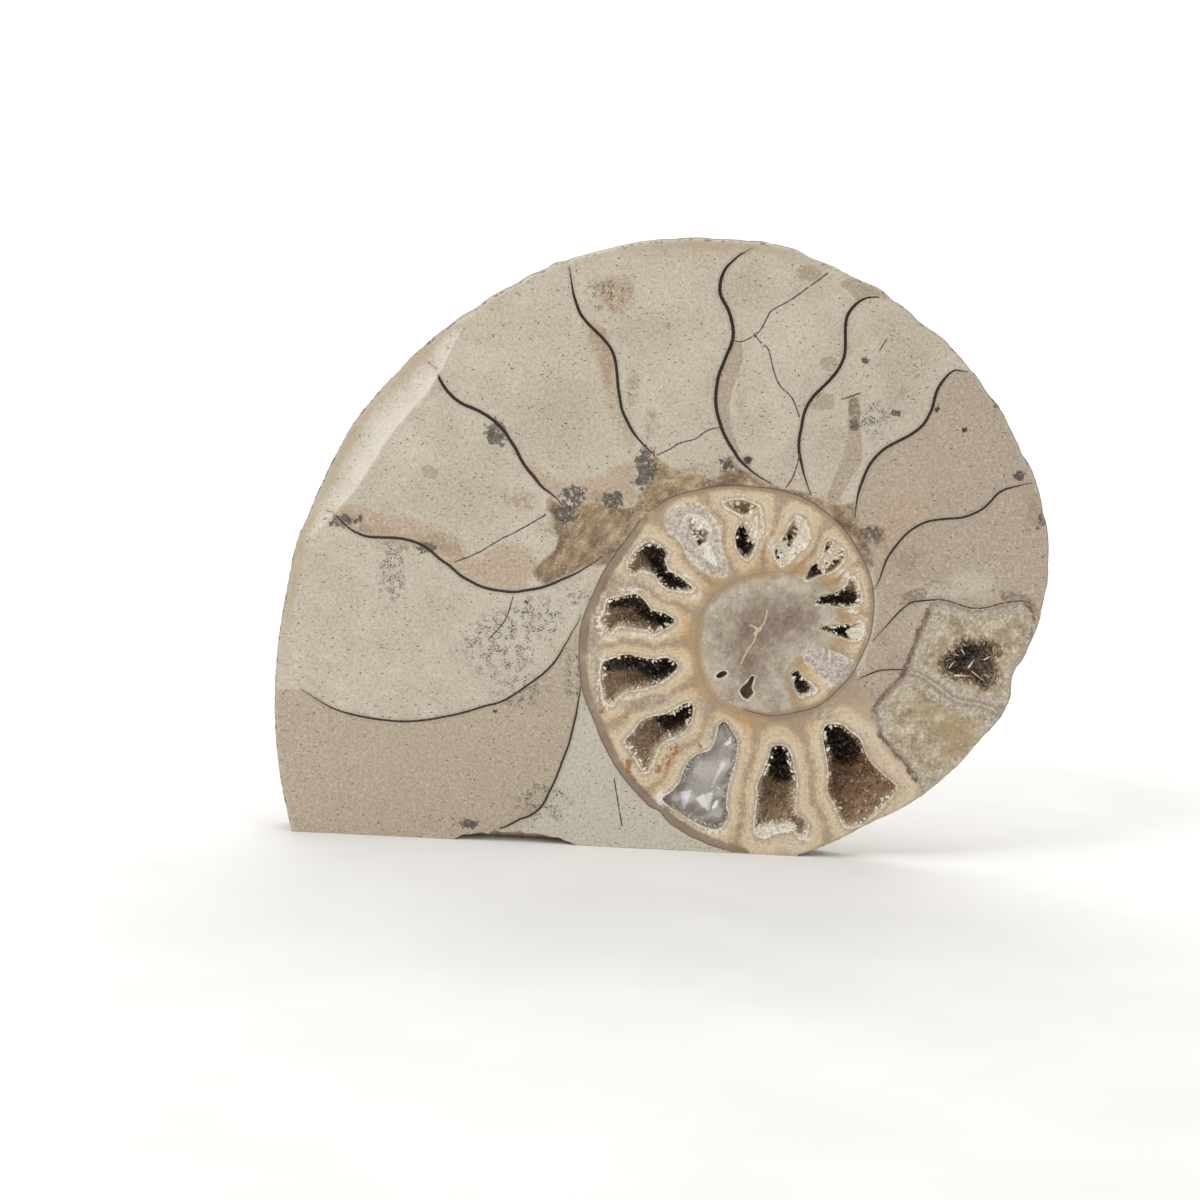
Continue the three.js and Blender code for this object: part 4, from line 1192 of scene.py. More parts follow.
# %% Grains, dendrites, septa and cracks
specks = stone.cells(0.62).between(0.15, 0.1) * stone.noise(0.31, 3).between(0.44, 0.52)
dots = stone.cells(1.25).between(0.2, 0.13) * stone.noise(0.9, 2).between(0.49, 0.55)
dashes = stone.cells(0.6, stone.turned(25, 0.5, 2.0)).between(0.15, 0.09)
dashes = dashes * stone.noise(0.4, 2).between(0.52, 0.6)
strokes = stone.cells(0.5, stone.turned(-50, 0.5, 2.2)).between(0.14, 0.08)
strokes = strokes * stone.noise(0.27, 2).between(0.5, 0.58)
growth = stone.number("dendrite") * stone.noise(0.5, 3).between(0.4, 0.58)
dendrites = growth.between(0.2, 0.6) * stone.noise(2.4, 3, 0.7).between(0.51, 0.55)
dark_grains = specks.most(dots * 0.75).most(dashes).most(strokes)
mud = stone.coats(
    mud,
    ((62, 54, 46), dark_grains * 0.9),
    ((230, 223, 209), stone.cells(0.8).between(0.12, 0.07) * 0.6),
    ((112, 94, 76), umber * flecks.between(0.38, 0.52) * 0.7),
    ((48, 46, 46), dendrites * 0.9),
    ((64, 54, 46), (stone.number("spot") + around(fine, 0.3)).between(0.1, -0.15)))
septum = stone.number("septum") + around(fine, 0.13)
mud = stone.coats(
    mud,
    ((150, 130, 108), septum.between(1.0, 0.05) * 0.35),
    ((24, 18, 15), septum.between(0.06, -0.03) * 0.98))
crack = stone.number("crack") + around(waver, 0.2)
crack = crack.between(0.26, 0.1) * stone.noise(0.35, 2).between(0.28, 0.36)
mud = stone.blend(mud, srgb(70, 56, 46), crack * 0.92)
print("now", len(stone.tree.nodes), "nodes")

# %% [markdown]
# The two open numbers below are the distances to every second hollow. Where they are equal lies the
# wall between two chambers, because neighbours always belong to different numbers. This draws the
# walls as smoothly as the distances themselves, with no line in the mesh.

# %% The layered crystal chambers
even = stone.number("even_mouth")
odd = stone.number("odd_mouth")
zone = stone.number("zone")
core_depth = stone.number("core")
hollow_gap = even.least(odd)
wall_gap = ((even - odd).size() * 0.5).least(shell_gap).least((core_depth * -1).most(0) + 0.3)
wall_gap = wall_gap + around(waver, 0.22) + around(drift, 0.7)
layer = hollow_gap / (hollow_gap + wall_gap.most(0.01))
layer = layer + around(waver, 0.1) + around(mottle, 0.22) + around(grit, 0.12)
pale_layers = [
    (0.0, (184, 166, 140)), (0.16, (198, 180, 152)), (0.34, (213, 196, 168)), (0.5, (204, 185, 154)),
    (0.66, (212, 189, 153)), (0.82, (190, 167, 135)), (1.0, (164, 145, 122))]
warm_layers = [
    (0.0, (180, 158, 126)), (0.16, (196, 171, 132)), (0.34, (210, 181, 136)), (0.5, (200, 164, 114)),
    (0.66, (198, 158, 104)), (0.82, (168, 134, 94)), (1.0, (146, 123, 97))]
near_core = core_depth.between(-9.5, -2) * drift.between(0.36, 0.58)
chambers = stone.blend(stone.ramp(layer, pale_layers), stone.ramp(layer, warm_layers), near_core)
for line_at, strength in ((0.3, 0.5), (0.85, 0.6), (1.5, 0.4)):
    wall_line = (wall_gap - line_at).size().between(0.2, 0.06) * mottle.between(0.4, 0.56)
    chambers = stone.blend(chambers, srgb(146, 126, 106), wall_line * strength)
chambers = stone.coats(
    chambers,
    ((230, 218, 194), grit.between(0.52, 0.66) * 0.5),
    ((134, 110, 82), grit.between(0.48, 0.34) * 0.5))
milk = stone.ramp(flecks * 0.6 + drift * 0.4, [
    (0.38, (132, 114, 96)), (0.48, (160, 143, 122)), (0.56, (186, 172, 151)), (0.64, (214, 205, 189))])
chambers = stone.coats(
    chambers,
    (milk, stain("milky", 0.4, 0.85, 0.9) * 0.85),
    ((166, 147, 122), hollow_gap.between(3.4, 6) * 0.7))
shell_band = (stone.number("outer_seam") + around(waver, 0.5) + around(drift, 0.8)).between(2.5, 1.7)
band_tone = stone.ramp(drift * 0.7 + grit * 0.3, [
    (0.36, (112, 95, 79)), (0.5, (136, 118, 99)), (0.64, (160, 143, 121))])
chambers = stone.blend(chambers, band_tone, shell_band * 0.9)
ragged_gap = hollow_gap + around(flecks, 1.5)
chambers = stone.coats(
    chambers,
    ((150, 130, 104), ragged_gap.between(1.3, 0.6) * 0.35),
    ((230, 222, 205), ragged_gap.between(0.3, 0.05) * 0.95))
white_flakes = (stone.number("flake") + around(flecks, 1.6) + around(mottle, 0.6)).between(0.68, 0.78)
white_flakes = white_flakes * (hollow_gap + around(drift, 1.2)).between(2.4, 1.2)
chambers = stone.blend(chambers, srgb(228, 221, 207), white_flakes * 0.9)
rust = (stone.number("rust") + around(flecks, 1.6)).between(0.55, 0.65)
chambers = stone.blend(chambers, srgb(150, 92, 22), rust * 0.85)
print("now", len(stone.tree.nodes), "nodes")

# %% [markdown]
# The innermost whorls are a grey core with a few white sparkles. Two large chambers in the outer
# whorl hold geodes of paler calcite with a grey fringe. Last come the shell's own wall, the rind
# along the rim and a painted highlight along the wide bevel.

# %% Core, geodes and shell wall
core_tone = stone.noise(0.34, 5, 0.66) * 0.55 + grit * 0.25 + core_depth.between(13, 0) * 0.2
core_grey = stone.ramp(core_tone, [
    (0.34, (118, 101, 86)), (0.46, (144, 128, 111)), (0.56, (170, 157, 139)), (0.68, (196, 187, 173))])
core_edge = core_depth.between(5, 1) * drift.between(0.5, 0.62)
core_grey = stone.blend(core_grey, srgb(186, 168, 138), core_edge * 0.6)
sparkle = flecks.between(0.6, 0.66) * core_depth.between(10, 1)
core_grey = stone.coats(
    core_grey,
    ((222, 217, 208), sparkle * 0.75),
    ((208, 184, 148), stone.number("vein").between(0.26, 0.1) * 0.9))
halo_tone = stone.blend(srgb(160, 137, 106), srgb(174, 142, 97), drift.between(0.42, 0.58))
halo = stone.blend(chambers, halo_tone, (core_depth + around(drift, 1.6)).between(-4.2, -2.2) * 0.65)
halo_line = (core_depth + 1.2 + around(waver, 0.3)).size().between(0.3, 0.1)
halo = stone.blend(halo, srgb(140, 121, 101), halo_line * 0.45)
in_core = (core_depth + around(waver, 1.0) + around(mottle, 0.8)).between(-0.5, 0.7)
inner = stone.blend(halo, core_grey, in_core)
pit_lip = (stone.number("pit") + around(flecks, 1.2)).between(0.5, 0.2)
inner = stone.blend(inner, srgb(214, 203, 182), pit_lip * 0.85)
bright = stone.ramp(flecks * 0.6 + grit * 0.4, [
    (0.4, (136, 127, 118)), (0.48, (176, 166, 155)), (0.56, (206, 197, 185)), (0.64, (234, 230, 222))])
grey_depth = stone.number("grey_geode").most(stone.number("agate")) + around(waver, 0.8)
inner = stone.coats(
    inner,
    (bright, grey_depth.between(-0.2, 0.6) * 0.9),
    ((222, 214, 200), (grey_depth - 0.2).size().between(0.5, 0.1) * flecks.between(0.42, 0.56) * 0.7))
shell_line = shell_gap + around(fine, 0.14)
thin_band = (shell_gap + around(drift, 1.2)).between(1.6, 0.5)
inner = stone.blend(inner, srgb(140, 121, 100), thin_band * 0.6)

geode = stone.number("geode") + around(waver, 0.5)
geode_tone = stone.noise(0.25, 4, 0.6) * 0.4 + flecks * 0.3 + grit * 0.3
geode_fill = stone.ramp(geode_tone, [
    (0.4, (134, 116, 91)), (0.48, (166, 150, 123)), (0.54, (187, 173, 149)), (0.62, (217, 208, 190))])
heart = (stone.number("geode_heart") + around(drift, 0.6) + around(flecks, 0.5)).between(0.35, 1.0)
geode_fill = stone.coats(
    geode_fill,
    ((160, 136, 98), heart * 0.7),
    ((132, 106, 72), (stone.number("vug") + around(flecks, 2.4)).between(2.0, 0.8) * 0.6),
    ((84, 62, 42), (stone.number("vug") + around(flecks, 4.4)).between(0.8, 0.5) * 0.9))
fringe = stone.ramp(flecks * 0.5 + grit * 0.5, [
    (0.4, (150, 137, 121)), (0.5, (176, 165, 149)), (0.6, (205, 197, 184))])
geode_fill = stone.coats(
    geode_fill,
    (fringe, (geode + around(drift, 2.6)).between(3.6, 1.6) * 0.85),
    ((138, 119, 100), (geode + around(mottle, 0.8)).between(1.5, 0.6) * 0.75),
    ((190, 178, 158), geode.between(0.5, 0.1) * 0.6),
    ((236, 231, 222), flecks.between(0.6, 0.66) * 0.5),
    ((120, 102, 80), flecks.between(0.41, 0.35) * 0.5))
border_gap = stone.number("border") + around(waver, 0.9) + around(drift, 1.2)

colour = stone.coats(
    mud,
    (inner, (zone + around(fine, 0.1)).between(-0.1, 0.1)),
    (geode_fill, geode.between(-0.1, 0.35)))
border_tone = stone.ramp(grit * 0.5 + drift * 0.5, [
    (0.4, (86, 62, 48)), (0.5, (112, 84, 66)), (0.6, (142, 112, 90))])
border_mask = border_gap.between(0.8, 0.2) * (drift * 0.5 + mottle * 0.5).between(0.38, 0.48)
colour = stone.coats(
    colour,
    (border_tone, border_mask * 0.9),
    ((84, 68, 56), shell_line.between(0.26, 0.1) * 0.7))
rim_gap = stone.number("rim_gap") + around(waver, 0.9)
rind = (rim_gap + around(drift, 1.5)).between(3.4, 1.6) * stone.number("left_rim")
colour = stone.coats(
    colour,
    ((178, 160, 132), rind * 0.75),
    ((184, 172, 152), rim_gap.between(1.2, 0.3) * 0.5))
# painted highlight: the wide bevel is painted lighter, most near the crease
painted_bevel_highlight = (stone.number("facet") + around(drift, 0.2)).between(0.3, 0.95)
colour = stone.coats(
    colour,
    ((216, 207, 194), painted_bevel_highlight * 0.5),
    ((70, 60, 50), rim_gap.between(0.55, 0.1) * mottle.between(0.5, 0.58) * 0.8),
    ((140, 118, 96), stone.number("sunk").between(0.2, 1.2)))
worn_in = stone.number("sunk").between(0.05, 0.4)
gloss = 0.26 + around(drift, 0.06) + dendrites * 0.15 + rim_gap.between(1.0, 0.2) * 0.25
stone.set(Base_Color=colour, Roughness=gloss + worn_in * 0.5)
relief = grain * 0.3 - septum.between(0.08, -0.06) - crack - dark_grains * 0.3
stone.set(Normal=stone.bump(relief, 0.03, 0.5))
print("polished stone has", len(stone.tree.nodes), "nodes")

# %% [markdown]
# ## Natural shell and sawn base
#
# The back was never polished. Ribs are paler on their crests and darker between them, the seam
# between the whorls is darker, and fine growth lines run beside the ribs. The base shows plain
# sawn stone with the curved scratches of the saw.

# %% The shell and the base
shell = Finish("natural_shell", IOR=1.5)
patches = shell.noise(0.05, 5, 0.6)
spots = shell.noise(0.5, 4, 0.65)
pores = shell.noise(2.2, 3, 0.6)
crest = shell.number("rib_crest")
seam_gap = shell.number("back_seam")
phase = shell.number("rib_phase")
skin = shell.ramp(patches * 0.7 + spots * 0.3, [
    (0.36, (126, 108, 86)), (0.48, (158, 141, 116)), (0.6, (184, 169, 144)), (0.7, (196, 184, 162))])
skin = shell.coats(
    skin,
    ((204, 192, 168), (crest + (spots - 0.5) * 3).between(0.5, 1.5) * 0.5),
    ((104, 84, 62), (crest + (spots - 0.5) * 2).between(-0.2, -1.2) * 0.45),
    ((160, 112, 62), shell.noise(0.09, 5, 0.65).between(0.56, 0.7) * 0.55),
    ((86, 70, 54), (seam_gap + (spots - 0.5) * 4).between(2.6, 0.3) * 0.8),
    ((58, 50, 44), pores.between(0.64, 0.72) * 0.55),
    ((214, 206, 190), shell.noise(1.1, 4, 0.7).between(0.62, 0.7) * 0.5))
lines_at = shell.node("ShaderNodeCombineXYZ", None, {0: phase * 1.6, 1: seam_gap * 0.03})
growth_lines = shell.noise(1, 3, 0.7, at=lines_at)
quiet_seam = seam_gap.between(0.8, 2.2)
shell.set(Base_Color=skin, Roughness=0.78 + (spots - 0.5) * 0.3)
coarse = shell.bump(spots + pores * 0.5, 0.6, 0.9)
shell.set(Normal=shell.bump(growth_lines * quiet_seam, 0.5, 0.55, under=coarse))

base = Finish("sawn_base", IOR=1.5)
base_cloud = base.noise(0.12, 4, 0.6)
saw_marks = base.noise(1, 3, 0.6, at=base.stretched(2.4, 0.06, 0.3))
sawn = base.ramp(base_cloud, [(0.35, (168, 153, 131)), (0.52, (190, 177, 156)), (0.7, (204, 193, 173))])
sawn = base.coats(
    sawn,
    ((150, 134, 112), saw_marks.between(0.52, 0.66) * 0.4),
    ((92, 80, 68), base.noise(1.9, 3, 0.6).between(0.62, 0.7) * 0.6))
base.set(Base_Color=sawn, Roughness=0.62 + (base_cloud - 0.5) * 0.2)
base.set(Normal=base.bump(saw_marks, 0.12, 0.7))
print("natural shell has", len(shell.tree.nodes), "nodes and the base", len(base.tree.nodes))

# %% [markdown]
# The stone's mesh takes its three materials. Its shading is smooth but for the edges of the cuts,
# and the line where the face meets the bevel is kept crisp.

# %% Put the stone in place
SHARP_FROM = math.radians(38)

half = make_piece("polished_half", stone_places, stone_faces,
                  [stone.material, shell.material, base.material], finish_of)
store(half, numbers)
half.data.shade_smooth()
half.data.set_sharp_from_angle(angle=SHARP_FROM)
on_front_loop = np.zeros(len(stone_places), bool)
on_front_loop[placed[0]] = True
for edge in half.data.edges:
    if on_front_loop[edge.vertices[0]] and on_front_loop[edge.vertices[1]]:
        edge.use_edge_sharp = True
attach(half, "root")
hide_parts("ammonite_half")
print("polished_half:", len(half.data.polygons), "faces,", len(half.data.vertices), "vertices")

# %% [markdown]
# ## Crystals
#
# Calcite lines every hollow with a crust of small crystals, whitest at the mouth and stained tan to
# brown further in. Each crust is a thin closed skin over the hollow's walls and floor. Hundreds of
# small pointed crystals stand out of it along its surface, and every face of them is flat, so each
# catches the light by itself. A fixed seed for each hollow keeps them in place from run to run.

# %% Lay a crust in each hollow
CRUST_SEED = 700
BUMP_SEED = 40
CRUST_STEP = 0.55
CRUST_THICKNESS = 0.9
CRUST_FEATHER = 0.7
AT_MOUTH = 0.01
SKIN_TONE = 0.5
WALL_RUN = 0.85
WALL_STEEPNESS = 1.5
WALL_BUMPS = 0.45
FLOOR_BUMPS = 0.14
LEDGE_REACH = 1.5
LEDGE_DEPTH = 0.5
LEDGE_DROP = 30
LEDGE_BUMPS = 0.3
LEDGE_TOP = 0.05
CRYSTALS_PER_MM2 = 1.15
USUAL_GRAIN = 0.6
CRYSTAL_LEAN = 0.42
CRYSTAL_SIZES = (0.45, 1.45)
CRYSTAL_LENGTHS = (0.7, 1.5)
ANY_DIRECTION = (0.31, 0.52, 0.79)
FOOT_SHARE = 0.5
TIP_ASIDE = 0.08
SHOULDER_AT = 0.45
SHOULDER_HALF_WIDTH = 0.46
LEAST_DEPTH = 0.02
RIM_SET_BACK = (0.2, 0.8)
RIM_JITTER = 0.15
RIM_SINK = (0.2, 1.4)
RIM_LEAN = 0.6
RIM_FACING = -0.4
NEEDLE_HOLLOW = 15
NEEDLE_SLIMNESS = 0.6
SLIVER_TONE = 1.2
SLIVER_DEPTH = 0.5
SLIVER_DIP = 0.3
SLIVER_SIDES = 4
CLEAR_HOLLOW = 12
CLEAR_STEP = 0.36
CLEAR_FLOOR = 2.8
CLEAR_WALL_SLOPE = 6
CLEAR_SMALL_COUNT = 70
CLEAR_SMALL_REACH = (1.4, 2.6)
CLEAR_SMALL_HEIGHT = (0.5, 1.3)
CLEAR_SIDES = 5
UNEVEN_SIDES = (0.8, 1.2)
CLEAR_CUT_OFF = 0.72
CLEAR_CRYSTALS = [
    (709, 772, 7.5, 2.6), (726, 766, 4.5, 2.9), (716, 735, 4.0, 2.2), (690, 800, 3.6, 3.0),
    (705, 806, 3.4, 3.1), (718, 815, 4.0, 2.4), (676, 800, 3.2, 2.2), (697, 776, 3.6, 2.0),
    (733, 748, 3.0, 2.2), (722, 795, 3.2, 2.4),
]


def crust_depth(hollow, points, seed):
    """How deep the surface of the crust lies below the face, and the distance from the mouth."""
    edge = nearest(points, hollow["loop"], closed=True)[0]
    bumpy = roughness_at(points, 0, 0.6, seed) * 0.5 + roughness_at(points, 0, 1.7, seed + 1) * 0.5
    fall = 1 - np.exp(-((edge * (1 + WALL_BUMPS * bumpy) / WALL_RUN) ** WALL_STEEPNESS))
    depth = (hollow_floor(hollow, points) - CRUST_THICKNESS) * fall * (1 + FLOOR_BUMPS * bumpy)
    for ledge in hollow.get("ledges", []):
        gap = nearest(points, on_face(ledge))[0] * (1 + LEDGE_BUMPS * bumpy)
        shelf = LEDGE_DEPTH * (1 + bumpy) + LEDGE_DROP * np.clip(gap - LEDGE_REACH, 0, None)
        depth = np.minimum(depth, np.where(edge > AT_MOUTH, np.maximum(shelf, LEDGE_TOP), 0))
    return np.where(edge < SAME_PLACE, 0, depth), edge


def clear_floor(flat):
    """The clear crystals in one hollow: large low pyramids with flat sides, over smaller ones."""
    rng = np.random.default_rng(CLEAR_HOLLOW)
    low, high = flat.min(axis=0), flat.max(axis=0)
    sizes = CLEAR_SMALL_REACH, CLEAR_SMALL_HEIGHT
    small = [(*rng.uniform(low, high), *(rng.uniform(*size) for size in sizes))
             for _ in range(CLEAR_SMALL_COUNT)]
    large = [(*on_face([(u, v)])[0], reach, height) for u, v, reach, height in CLEAR_CRYSTALS]
    rise = np.zeros(len(flat))
    for x, z, reach, height in small + large:
        turn = rng.uniform(0, TURN)
        steps = rng.uniform(*UNEVEN_SIDES, CLEAR_SIDES)
        angles = turn + np.cumsum(steps) * TURN / CLEAR_SIDES
        sides = np.column_stack([np.cos(angles), np.sin(angles)])
        away = ((flat - (x, z)) @ sides.T).max(axis=1) / reach
        rise = np.maximum(rise, height * np.clip(1 - away, 0, CLEAR_CUT_OFF))
    return CLEAR_FLOOR - rise


def crust_skin(number, hollow):
    """The closed skin over a hollow's walls and floor, and the triangles of its front alone."""
    step = CLEAR_STEP if number == CLEAR_HOLLOW else CRUST_STEP
    flat, triangles, (rim_ids,) = triangulate([hollow["loop"]], [], step, seed=number)
    depth, edge = crust_depth(hollow, flat, BUMP_SEED + number)
    if number == CLEAR_HOLLOW:
        depth = np.minimum(clear_floor(flat), CLEAR_WALL_SLOPE * edge)
    under = depth + CRUST_THICKNESS * smoothstep(edge, 0, CRUST_FEATHER)
    inner = np.setdiff1d(np.arange(len(flat)), rim_ids)
    lower_id = np.arange(len(flat))
    lower_id[inner] = len(flat) + np.arange(len(inner))
    front = np.column_stack([flat[:, 0], depth, flat[:, 1]])
    behind = np.column_stack([flat[inner, 0], under[inner], flat[inner, 1]])
    faces = [tuple(t) for t in triangles] + [tuple(lower_id[t][::-1]) for t in triangles]
    return np.vstack([front, behind]), faces, triangles


def pointed_crystal(foot, along, size, length, sides, turn):
    """Places and faces of one crystal: a short prism with a pointed end."""
    along = along / np.linalg.norm(along)
    aside = np.cross(along, ANY_DIRECTION)
    aside /= np.linalg.norm(aside)
    up = np.cross(along, aside)
    angles = turn + np.arange(sides) / sides * TURN
    ring = np.outer(np.cos(angles), aside) + np.outer(np.sin(angles), up)
    low = foot - along * size * FOOT_SHARE + ring * size * FOOT_SHARE
    high = foot + along * length * SHOULDER_AT + ring * size * SHOULDER_HALF_WIDTH
    tip = foot + along * length + ring[0] * size * TIP_ASIDE
    around_ids = [(i, (i + 1) % sides) for i in range(sides)]
    faces = [tuple(range(sides))[::-1]]
    faces += [(i, j, sides + j, sides + i) for i, j in around_ids]
    faces += [(sides + i, sides + j, 2 * sides) for i, j in around_ids]
    return np.vstack([low, high, tip]), faces


def floor_spots(hollow, skin, triangles, rng):
    """Scattered places on the crust's surface, more of them where it is steep, with its normal."""
    corners = skin[triangles]
    normals = np.cross(corners[:, 1] - corners[:, 0], corners[:, 2] - corners[:, 0])
    areas = np.linalg.norm(normals, axis=1) / 2
    per_mm2 = CRYSTALS_PER_MM2 * (USUAL_GRAIN / hollow["grain"]) ** 2
    picked = rng.choice(len(triangles), size=int(areas.sum() * per_mm2), p=areas / areas.sum())
    weights = rng.dirichlet((1, 1, 1), len(picked))
    places = np.einsum("ij,ijk->ik", weights, corners[picked])
    return places, normals[picked] / (2 * areas[picked][:, None])


def rim_spots(hollow, rng):
    """Places just inside the mouth for the crystals that frame it, and where each one points."""
    loop = hollow["loop"]
    at = loop[rng.integers(0, len(loop), int(hollow["rim"] * len(loop)))]
    inward = hollow["foot"] - at
    inward /= np.hypot(*inward.T)[:, None]
    at = at + inward * rng.uniform(*RIM_SET_BACK, (len(at), 1)) + rng.normal(0, RIM_JITTER, at.shape)
    places = np.column_stack([at[:, 0], rng.uniform(*RIM_SINK, len(at)), at[:, 1]])
    facing = np.column_stack([inward[:, 0], np.full(len(inward), RIM_FACING), inward[:, 1]])
    return places, facing + rng.normal(0, RIM_LEAN, facing.shape)


def grow_crust(number, hollow):
    """Places and faces of a crust with all its crystals, and a chance tone for each crystal."""
    rng = np.random.default_rng(CRUST_SEED + number)
    skin, every_face, triangles = crust_skin(number, hollow)
    places, tones = [skin], [np.full(len(skin), SKIN_TONE)]

    def add(points, faces, tone):
        made = sum(len(some) for some in places)
        every_face.extend(tuple(made + i for i in face) for face in faces)
        places.append(points)
        tones.append(np.full(len(points), tone))

    spots, facing = floor_spots(hollow, skin, triangles, rng)
    if number == CLEAR_HOLLOW:
        spots, facing = spots[:0], facing[:0]
    at_rim, from_rim = rim_spots(hollow, rng)
    slim = NEEDLE_SLIMNESS if number == NEEDLE_HOLLOW else 1
    for spot, normal in zip(np.vstack([spots, at_rim]), np.vstack([facing, from_rim])):
        size = hollow["grain"] * rng.uniform(*CRYSTAL_SIZES) * slim
        length = size * rng.uniform(*CRYSTAL_LENGTHS) / slim**2
        along = normal + rng.normal(0, CRYSTAL_LEAN, 3)
        sides = int(rng.integers(4, 7))
        points, faces = pointed_crystal(spot, along, size, length, sides, rng.uniform(0, TURN))
        points[:, 1] = np.maximum(points[:, 1], LEAST_DEPTH)
        if inside(points[:, [0, 2]], hollow["loop"]).all():
            add(points, faces, rng.uniform(0, 1))
    for u0, v0, u1, v1, width in hollow.get("slivers", []):
        (x0, z0), (x1, z1) = on_face([(u0, v0), (u1, v1)])
        along = np.array([x1 - x0, SLIVER_DIP, z1 - z0])
        foot = np.array([x0, SLIVER_DEPTH, z0])
        length = np.linalg.norm(along)
        add(*pointed_crystal(foot, along, width, length, SLIVER_SIDES, 0.5), SLIVER_TONE)
    return np.vstack(places), every_face, np.concatenate(tones)


# %% [markdown]
# The crystals' own material takes its colour from how deep a place lies and a chance tone for each
# crystal. A painted shade darkens the crust near each hollow's marks of shade, toward its deepest
# end; in the vug the same number also gives many crystals their own dark brown.

# %% The crystal material
crystal = Finish("calcite_druse", IOR=1.6, Coat_Weight=0.3, Coat_Roughness=0.08)
sink = crystal.number("sink")
gloom = crystal.number("gloom")
pale = crystal.number("pale_floor")
chance = crystal.number("chance")
crystal_cloud = crystal.noise(0.4, 4, 0.6)
crystal_grit = crystal.noise(1.6, 4, 0.75)
depth_tone = sink + around(crystal_cloud, 1.1) + around(chance, 0.5) + around(crystal_grit, 0.8)
druse_colour = crystal.ramp(depth_tone / 9, [
    (0.0, (236, 228, 210)), (0.07, (226, 214, 190)), (0.14, (196, 174, 142)), (0.3, (176, 146, 112)),
    (0.6, (158, 126, 94)), (1.0, (140, 108, 80))])
pale_colour = crystal.ramp(depth_tone / 9, [
    (0.0, (238, 232, 218)), (0.12, (226, 217, 200)), (0.3, (212, 196, 172)), (0.6, (198, 174, 144)),
    (1.0, (180, 152, 122))])
druse_colour = crystal.coats(
    druse_colour,
    (pale_colour, pale),
    ((112, 84, 60), crystal_grit.between(0.5, 0.36) * 0.6))
# painted shade: dark brown laid over the crust near the marks of shade; in the vug it also darkens many
# crystals to their own dark brown
painted_shade_and_dark_crystals = (gloom + around(crystal_cloud, 0.5)).between(0.05, 0.85) * sink.between(0.5, 2.0)
druse_colour = crystal.blend(druse_colour, srgb(46, 33, 24), painted_shade_and_dark_crystals * 0.95)
glitter = (chance.between(0.93, 0.96) * (1 - gloom)).most(chance.between(1.05, 1.1))
druse_colour = crystal.blend(druse_colour, srgb(242, 238, 230), glitter * 0.7)
crystal.set(Base_Color=druse_colour, Roughness=0.34 + around(crystal_cloud, 0.1))
print("crystal material has", len(crystal.tree.nodes), "nodes")

# %% [markdown]
# One hollow holds clear crystals whose broad flat faces show lavender grey, and a few marked facets get
# a painted white highlight.
# Light has to pass through them, so this finish has plain transmission and an absorbing tint.

# %% The clear crystal
clear = Finish("clear_calcite", IOR=1.6, Transmission_Weight=0.3, Coat_Weight=0.4, Coat_Roughness=0.05)
facet_tone = clear.number("chance")
clear_cloud = clear.noise(0.3, 3, 0.6)
clear_grit = clear.noise(1.6, 4, 0.7)
clear_colour = clear.ramp(facet_tone * 0.6 + clear_cloud * 0.4, [
    (0.3, (158, 148, 138)), (0.5, (196, 188, 180)), (0.7, (216, 210, 203))])
clear_colour = clear.coats(
    clear_colour,
    ((226, 220, 208), clear.number("sink").between(1.4, 0.5) * 0.7),
    ((168, 152, 132), clear_grit.between(0.5, 0.36) * 0.4),
    # painted highlight: marked facets painted near white
    ((250, 249, 247), clear.number("flash")))
clear.set(Base_Color=clear_colour, Roughness=0.12 + clear_grit * 0.14)
print("clear crystal has", len(clear.tree.nodes), "nodes")

# %% [markdown]
# Every hollow gets its crust, with the numbers that its material reads. Marks of shade say where
# a hollow gets painted shade, and a few clear crystal facets are marked for a painted highlight.

# %% Grow every crust
PAINTED_SHADE_FADES = (0.35, 1.1)
GLOOM_SPREAD = 0.6
NEEDLE_GLOOM = 0.55
NEEDLE_SPREAD = 1.2
PALE_FROM_CHANCE = 0.88
PALE_LIFT = 0.7
PAINTED_FLASHES = [
    [(681, 795), (693, 792), (684, 814)], [(695, 800), (714, 794), (710, 815)],
    [(722, 763), (727, 765), (712, 790)],
]

for number, hollow in enumerate(HOLLOWS, start=1):
    places, faces, chances = grow_crust(number, hollow)
    finish = clear if number == CLEAR_HOLLOW else crystal
    crust = make_piece(f"druse_{number:02d}", places, faces, [finish.material])
    flat_places = places[:, [0, 2]]
    gloom = GLOOM_SPREAD * (0.5 - chances)
    # painted shade, strongest along the hollow's marks of shade
    if "shade" in hollow:
        shade = nearest(flat_places, on_face(hollow["shade"]))[0]
        gloom += 1 - smoothstep(shade / hollow["reach"] ** 0.5, *PAINTED_SHADE_FADES)
    if number == NEEDLE_HOLLOW:
        gloom = np.maximum(gloom, NEEDLE_GLOOM + NEEDLE_SPREAD * (0.5 - chances))
    # painted highlight: facets inside these marks are painted white
    painted_flash_masks = [inside(flat_places, on_face(marks)) for marks in PAINTED_FLASHES]
    store(crust, {
        "sink": places[:, 1] + hollow.get("stained", 0),
        "gloom": gloom,
        "pale_floor": hollow["pale"] + PALE_LIFT * (chances > PALE_FROM_CHANCE),
        "chance": chances,
        "flash": np.any(painted_flash_masks, axis=0),
    })
    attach(crust, "root")
    "clear_crystal" if number == CLEAR_HOLLOW else "crystal"
    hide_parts(f"crystal_crust_{number:02d}")
    print(crust.name, len(faces), "faces")

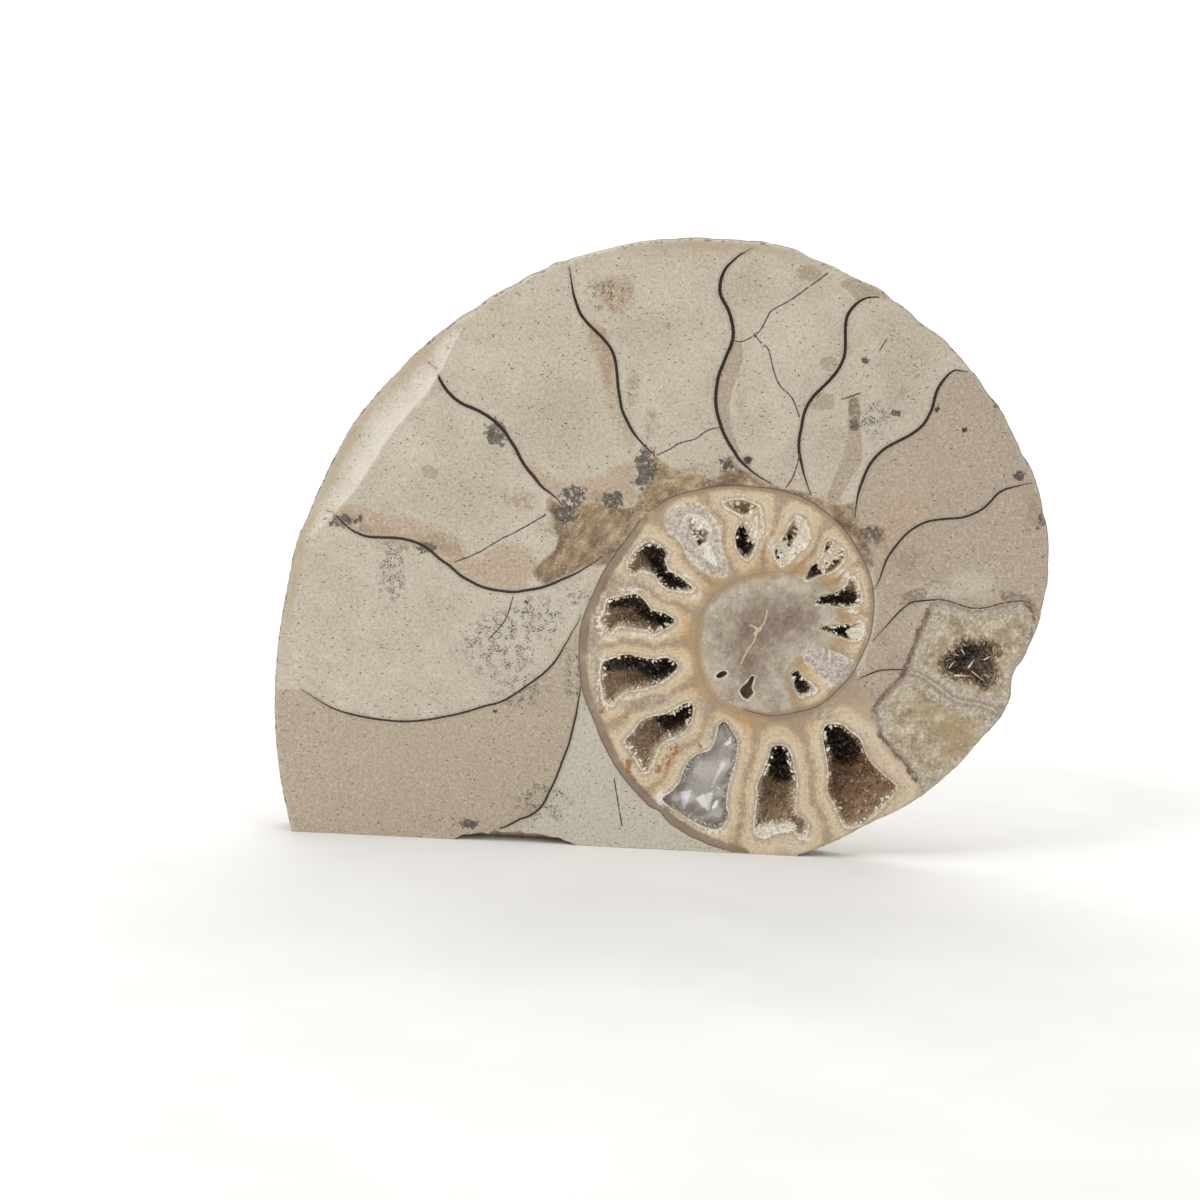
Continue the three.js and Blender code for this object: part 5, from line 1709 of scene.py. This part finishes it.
# %% [markdown]
# ## Camera, floor and light
#
# The picture looks straight at the polished face from a little above, and leans so little that the
# base falls toward the right by the sheet's own slope. Soft boxes stand above and at the upper
# left, where the wide bevel catches them. Floor and surroundings are plain and pale.

# %% Set the stage
CAMERA_ELEVATION = math.radians(8)
CAMERA_DISTANCE = 0.9
PICTURE_WIDTH = 1200 * SHEET_MM * MM
SENSOR = 36
ROOM_LIGHT = 0.32

aim_x, aim_z = on_face([(600, 600)])[0] * MM
aim = Vector((aim_x, stone_low[1], aim_z))
forward = Vector((0, math.cos(CAMERA_ELEVATION), -math.sin(CAMERA_ELEVATION)))
sideways = Vector((math.cos(TILT), 0, math.sin(TILT)))
sideways = (sideways - forward * sideways.dot(forward)).normalized()
upward = sideways.cross(forward)
turned = Matrix((sideways, upward, -forward)).transposed().to_4x4()
camera_data = bpy.data.cameras.new("camera")
camera_data.sensor_width = SENSOR
camera_data.lens = SENSOR * CAMERA_DISTANCE / PICTURE_WIDTH
camera = bpy.data.objects.new("camera", camera_data)
camera.matrix_world = Matrix.Translation(aim - forward * CAMERA_DISTANCE) @ turned
bpy.context.collection.objects.link(camera)
bpy.context.scene.camera = camera

SWEEP_HALF_WIDTH = 3
SWEEP_PROFILE = [(-3, 0), (0.9, 0), (1.15, 0.03), (1.35, 0.12), (1.5, 0.3), (1.56, 0.6), (1.58, 3)]
sweep = bpy.data.meshes.new("sweep")
sweep.from_pydata(
    [(side * SWEEP_HALF_WIDTH, y, z) for y, z in SWEEP_PROFILE for side in (-1, 1)], [],
    [(2 * i, 2 * i + 1, 2 * i + 3, 2 * i + 2) for i in range(len(SWEEP_PROFILE) - 1)])
sweep.shade_smooth()
floor = bpy.data.objects.new("floor", sweep)
bpy.context.collection.objects.link(floor)
paper = Finish("pale_paper", Roughness=0.9)
paper.set(Base_Color=paper.ramp(paper.noise(0.02, 2), [(0.3, (236, 235, 233)), (0.7, (242, 241, 239))]))
sweep.materials.append(paper.material)


def soft_box(name, place, watts, width, height, toward=(0, 0, 0.07)):
    light = bpy.data.lights.new(name, "AREA")
    light.shape = "RECTANGLE"
    light.energy = watts
    light.size = width
    light.size_y = height
    lamp = bpy.data.objects.new(name, light)
    lamp.location = place
    lamp.rotation_euler = (Vector(toward) - Vector(place)).to_track_quat("-Z", "Y").to_euler()
    bpy.context.collection.objects.link(lamp)


soft_box("key_upper_left", (-0.7, -0.8, 0.9), 6.2, 0.5, 0.5)
soft_box("card_left", (-0.46, -0.96, 0.17), 1.2, 0.2, 0.36)
soft_box("fill_right", (0.9, -0.95, 0.5), 2.6, 0.8, 0.8)
soft_box("top", (0.0, -0.1, 1.2), 4.5, 1.0, 0.6)
soft_box("back", (0.1, 1.0, 0.8), 3, 1.0, 0.5)
soft_box("backdrop", (0, 0.9, 1.0), 16, 2.4, 0.6, (0, 1.25, 0))
world = bpy.data.worlds.new("pale_room")
world.use_nodes = True
world.node_tree.nodes["Background"].inputs["Color"].default_value = (1, 1, 1, 1)
world.node_tree.nodes["Background"].inputs["Strength"].default_value = ROOM_LIGHT
bpy.context.scene.world = world
print("lens:", round(camera_data.lens, 1), "mm")
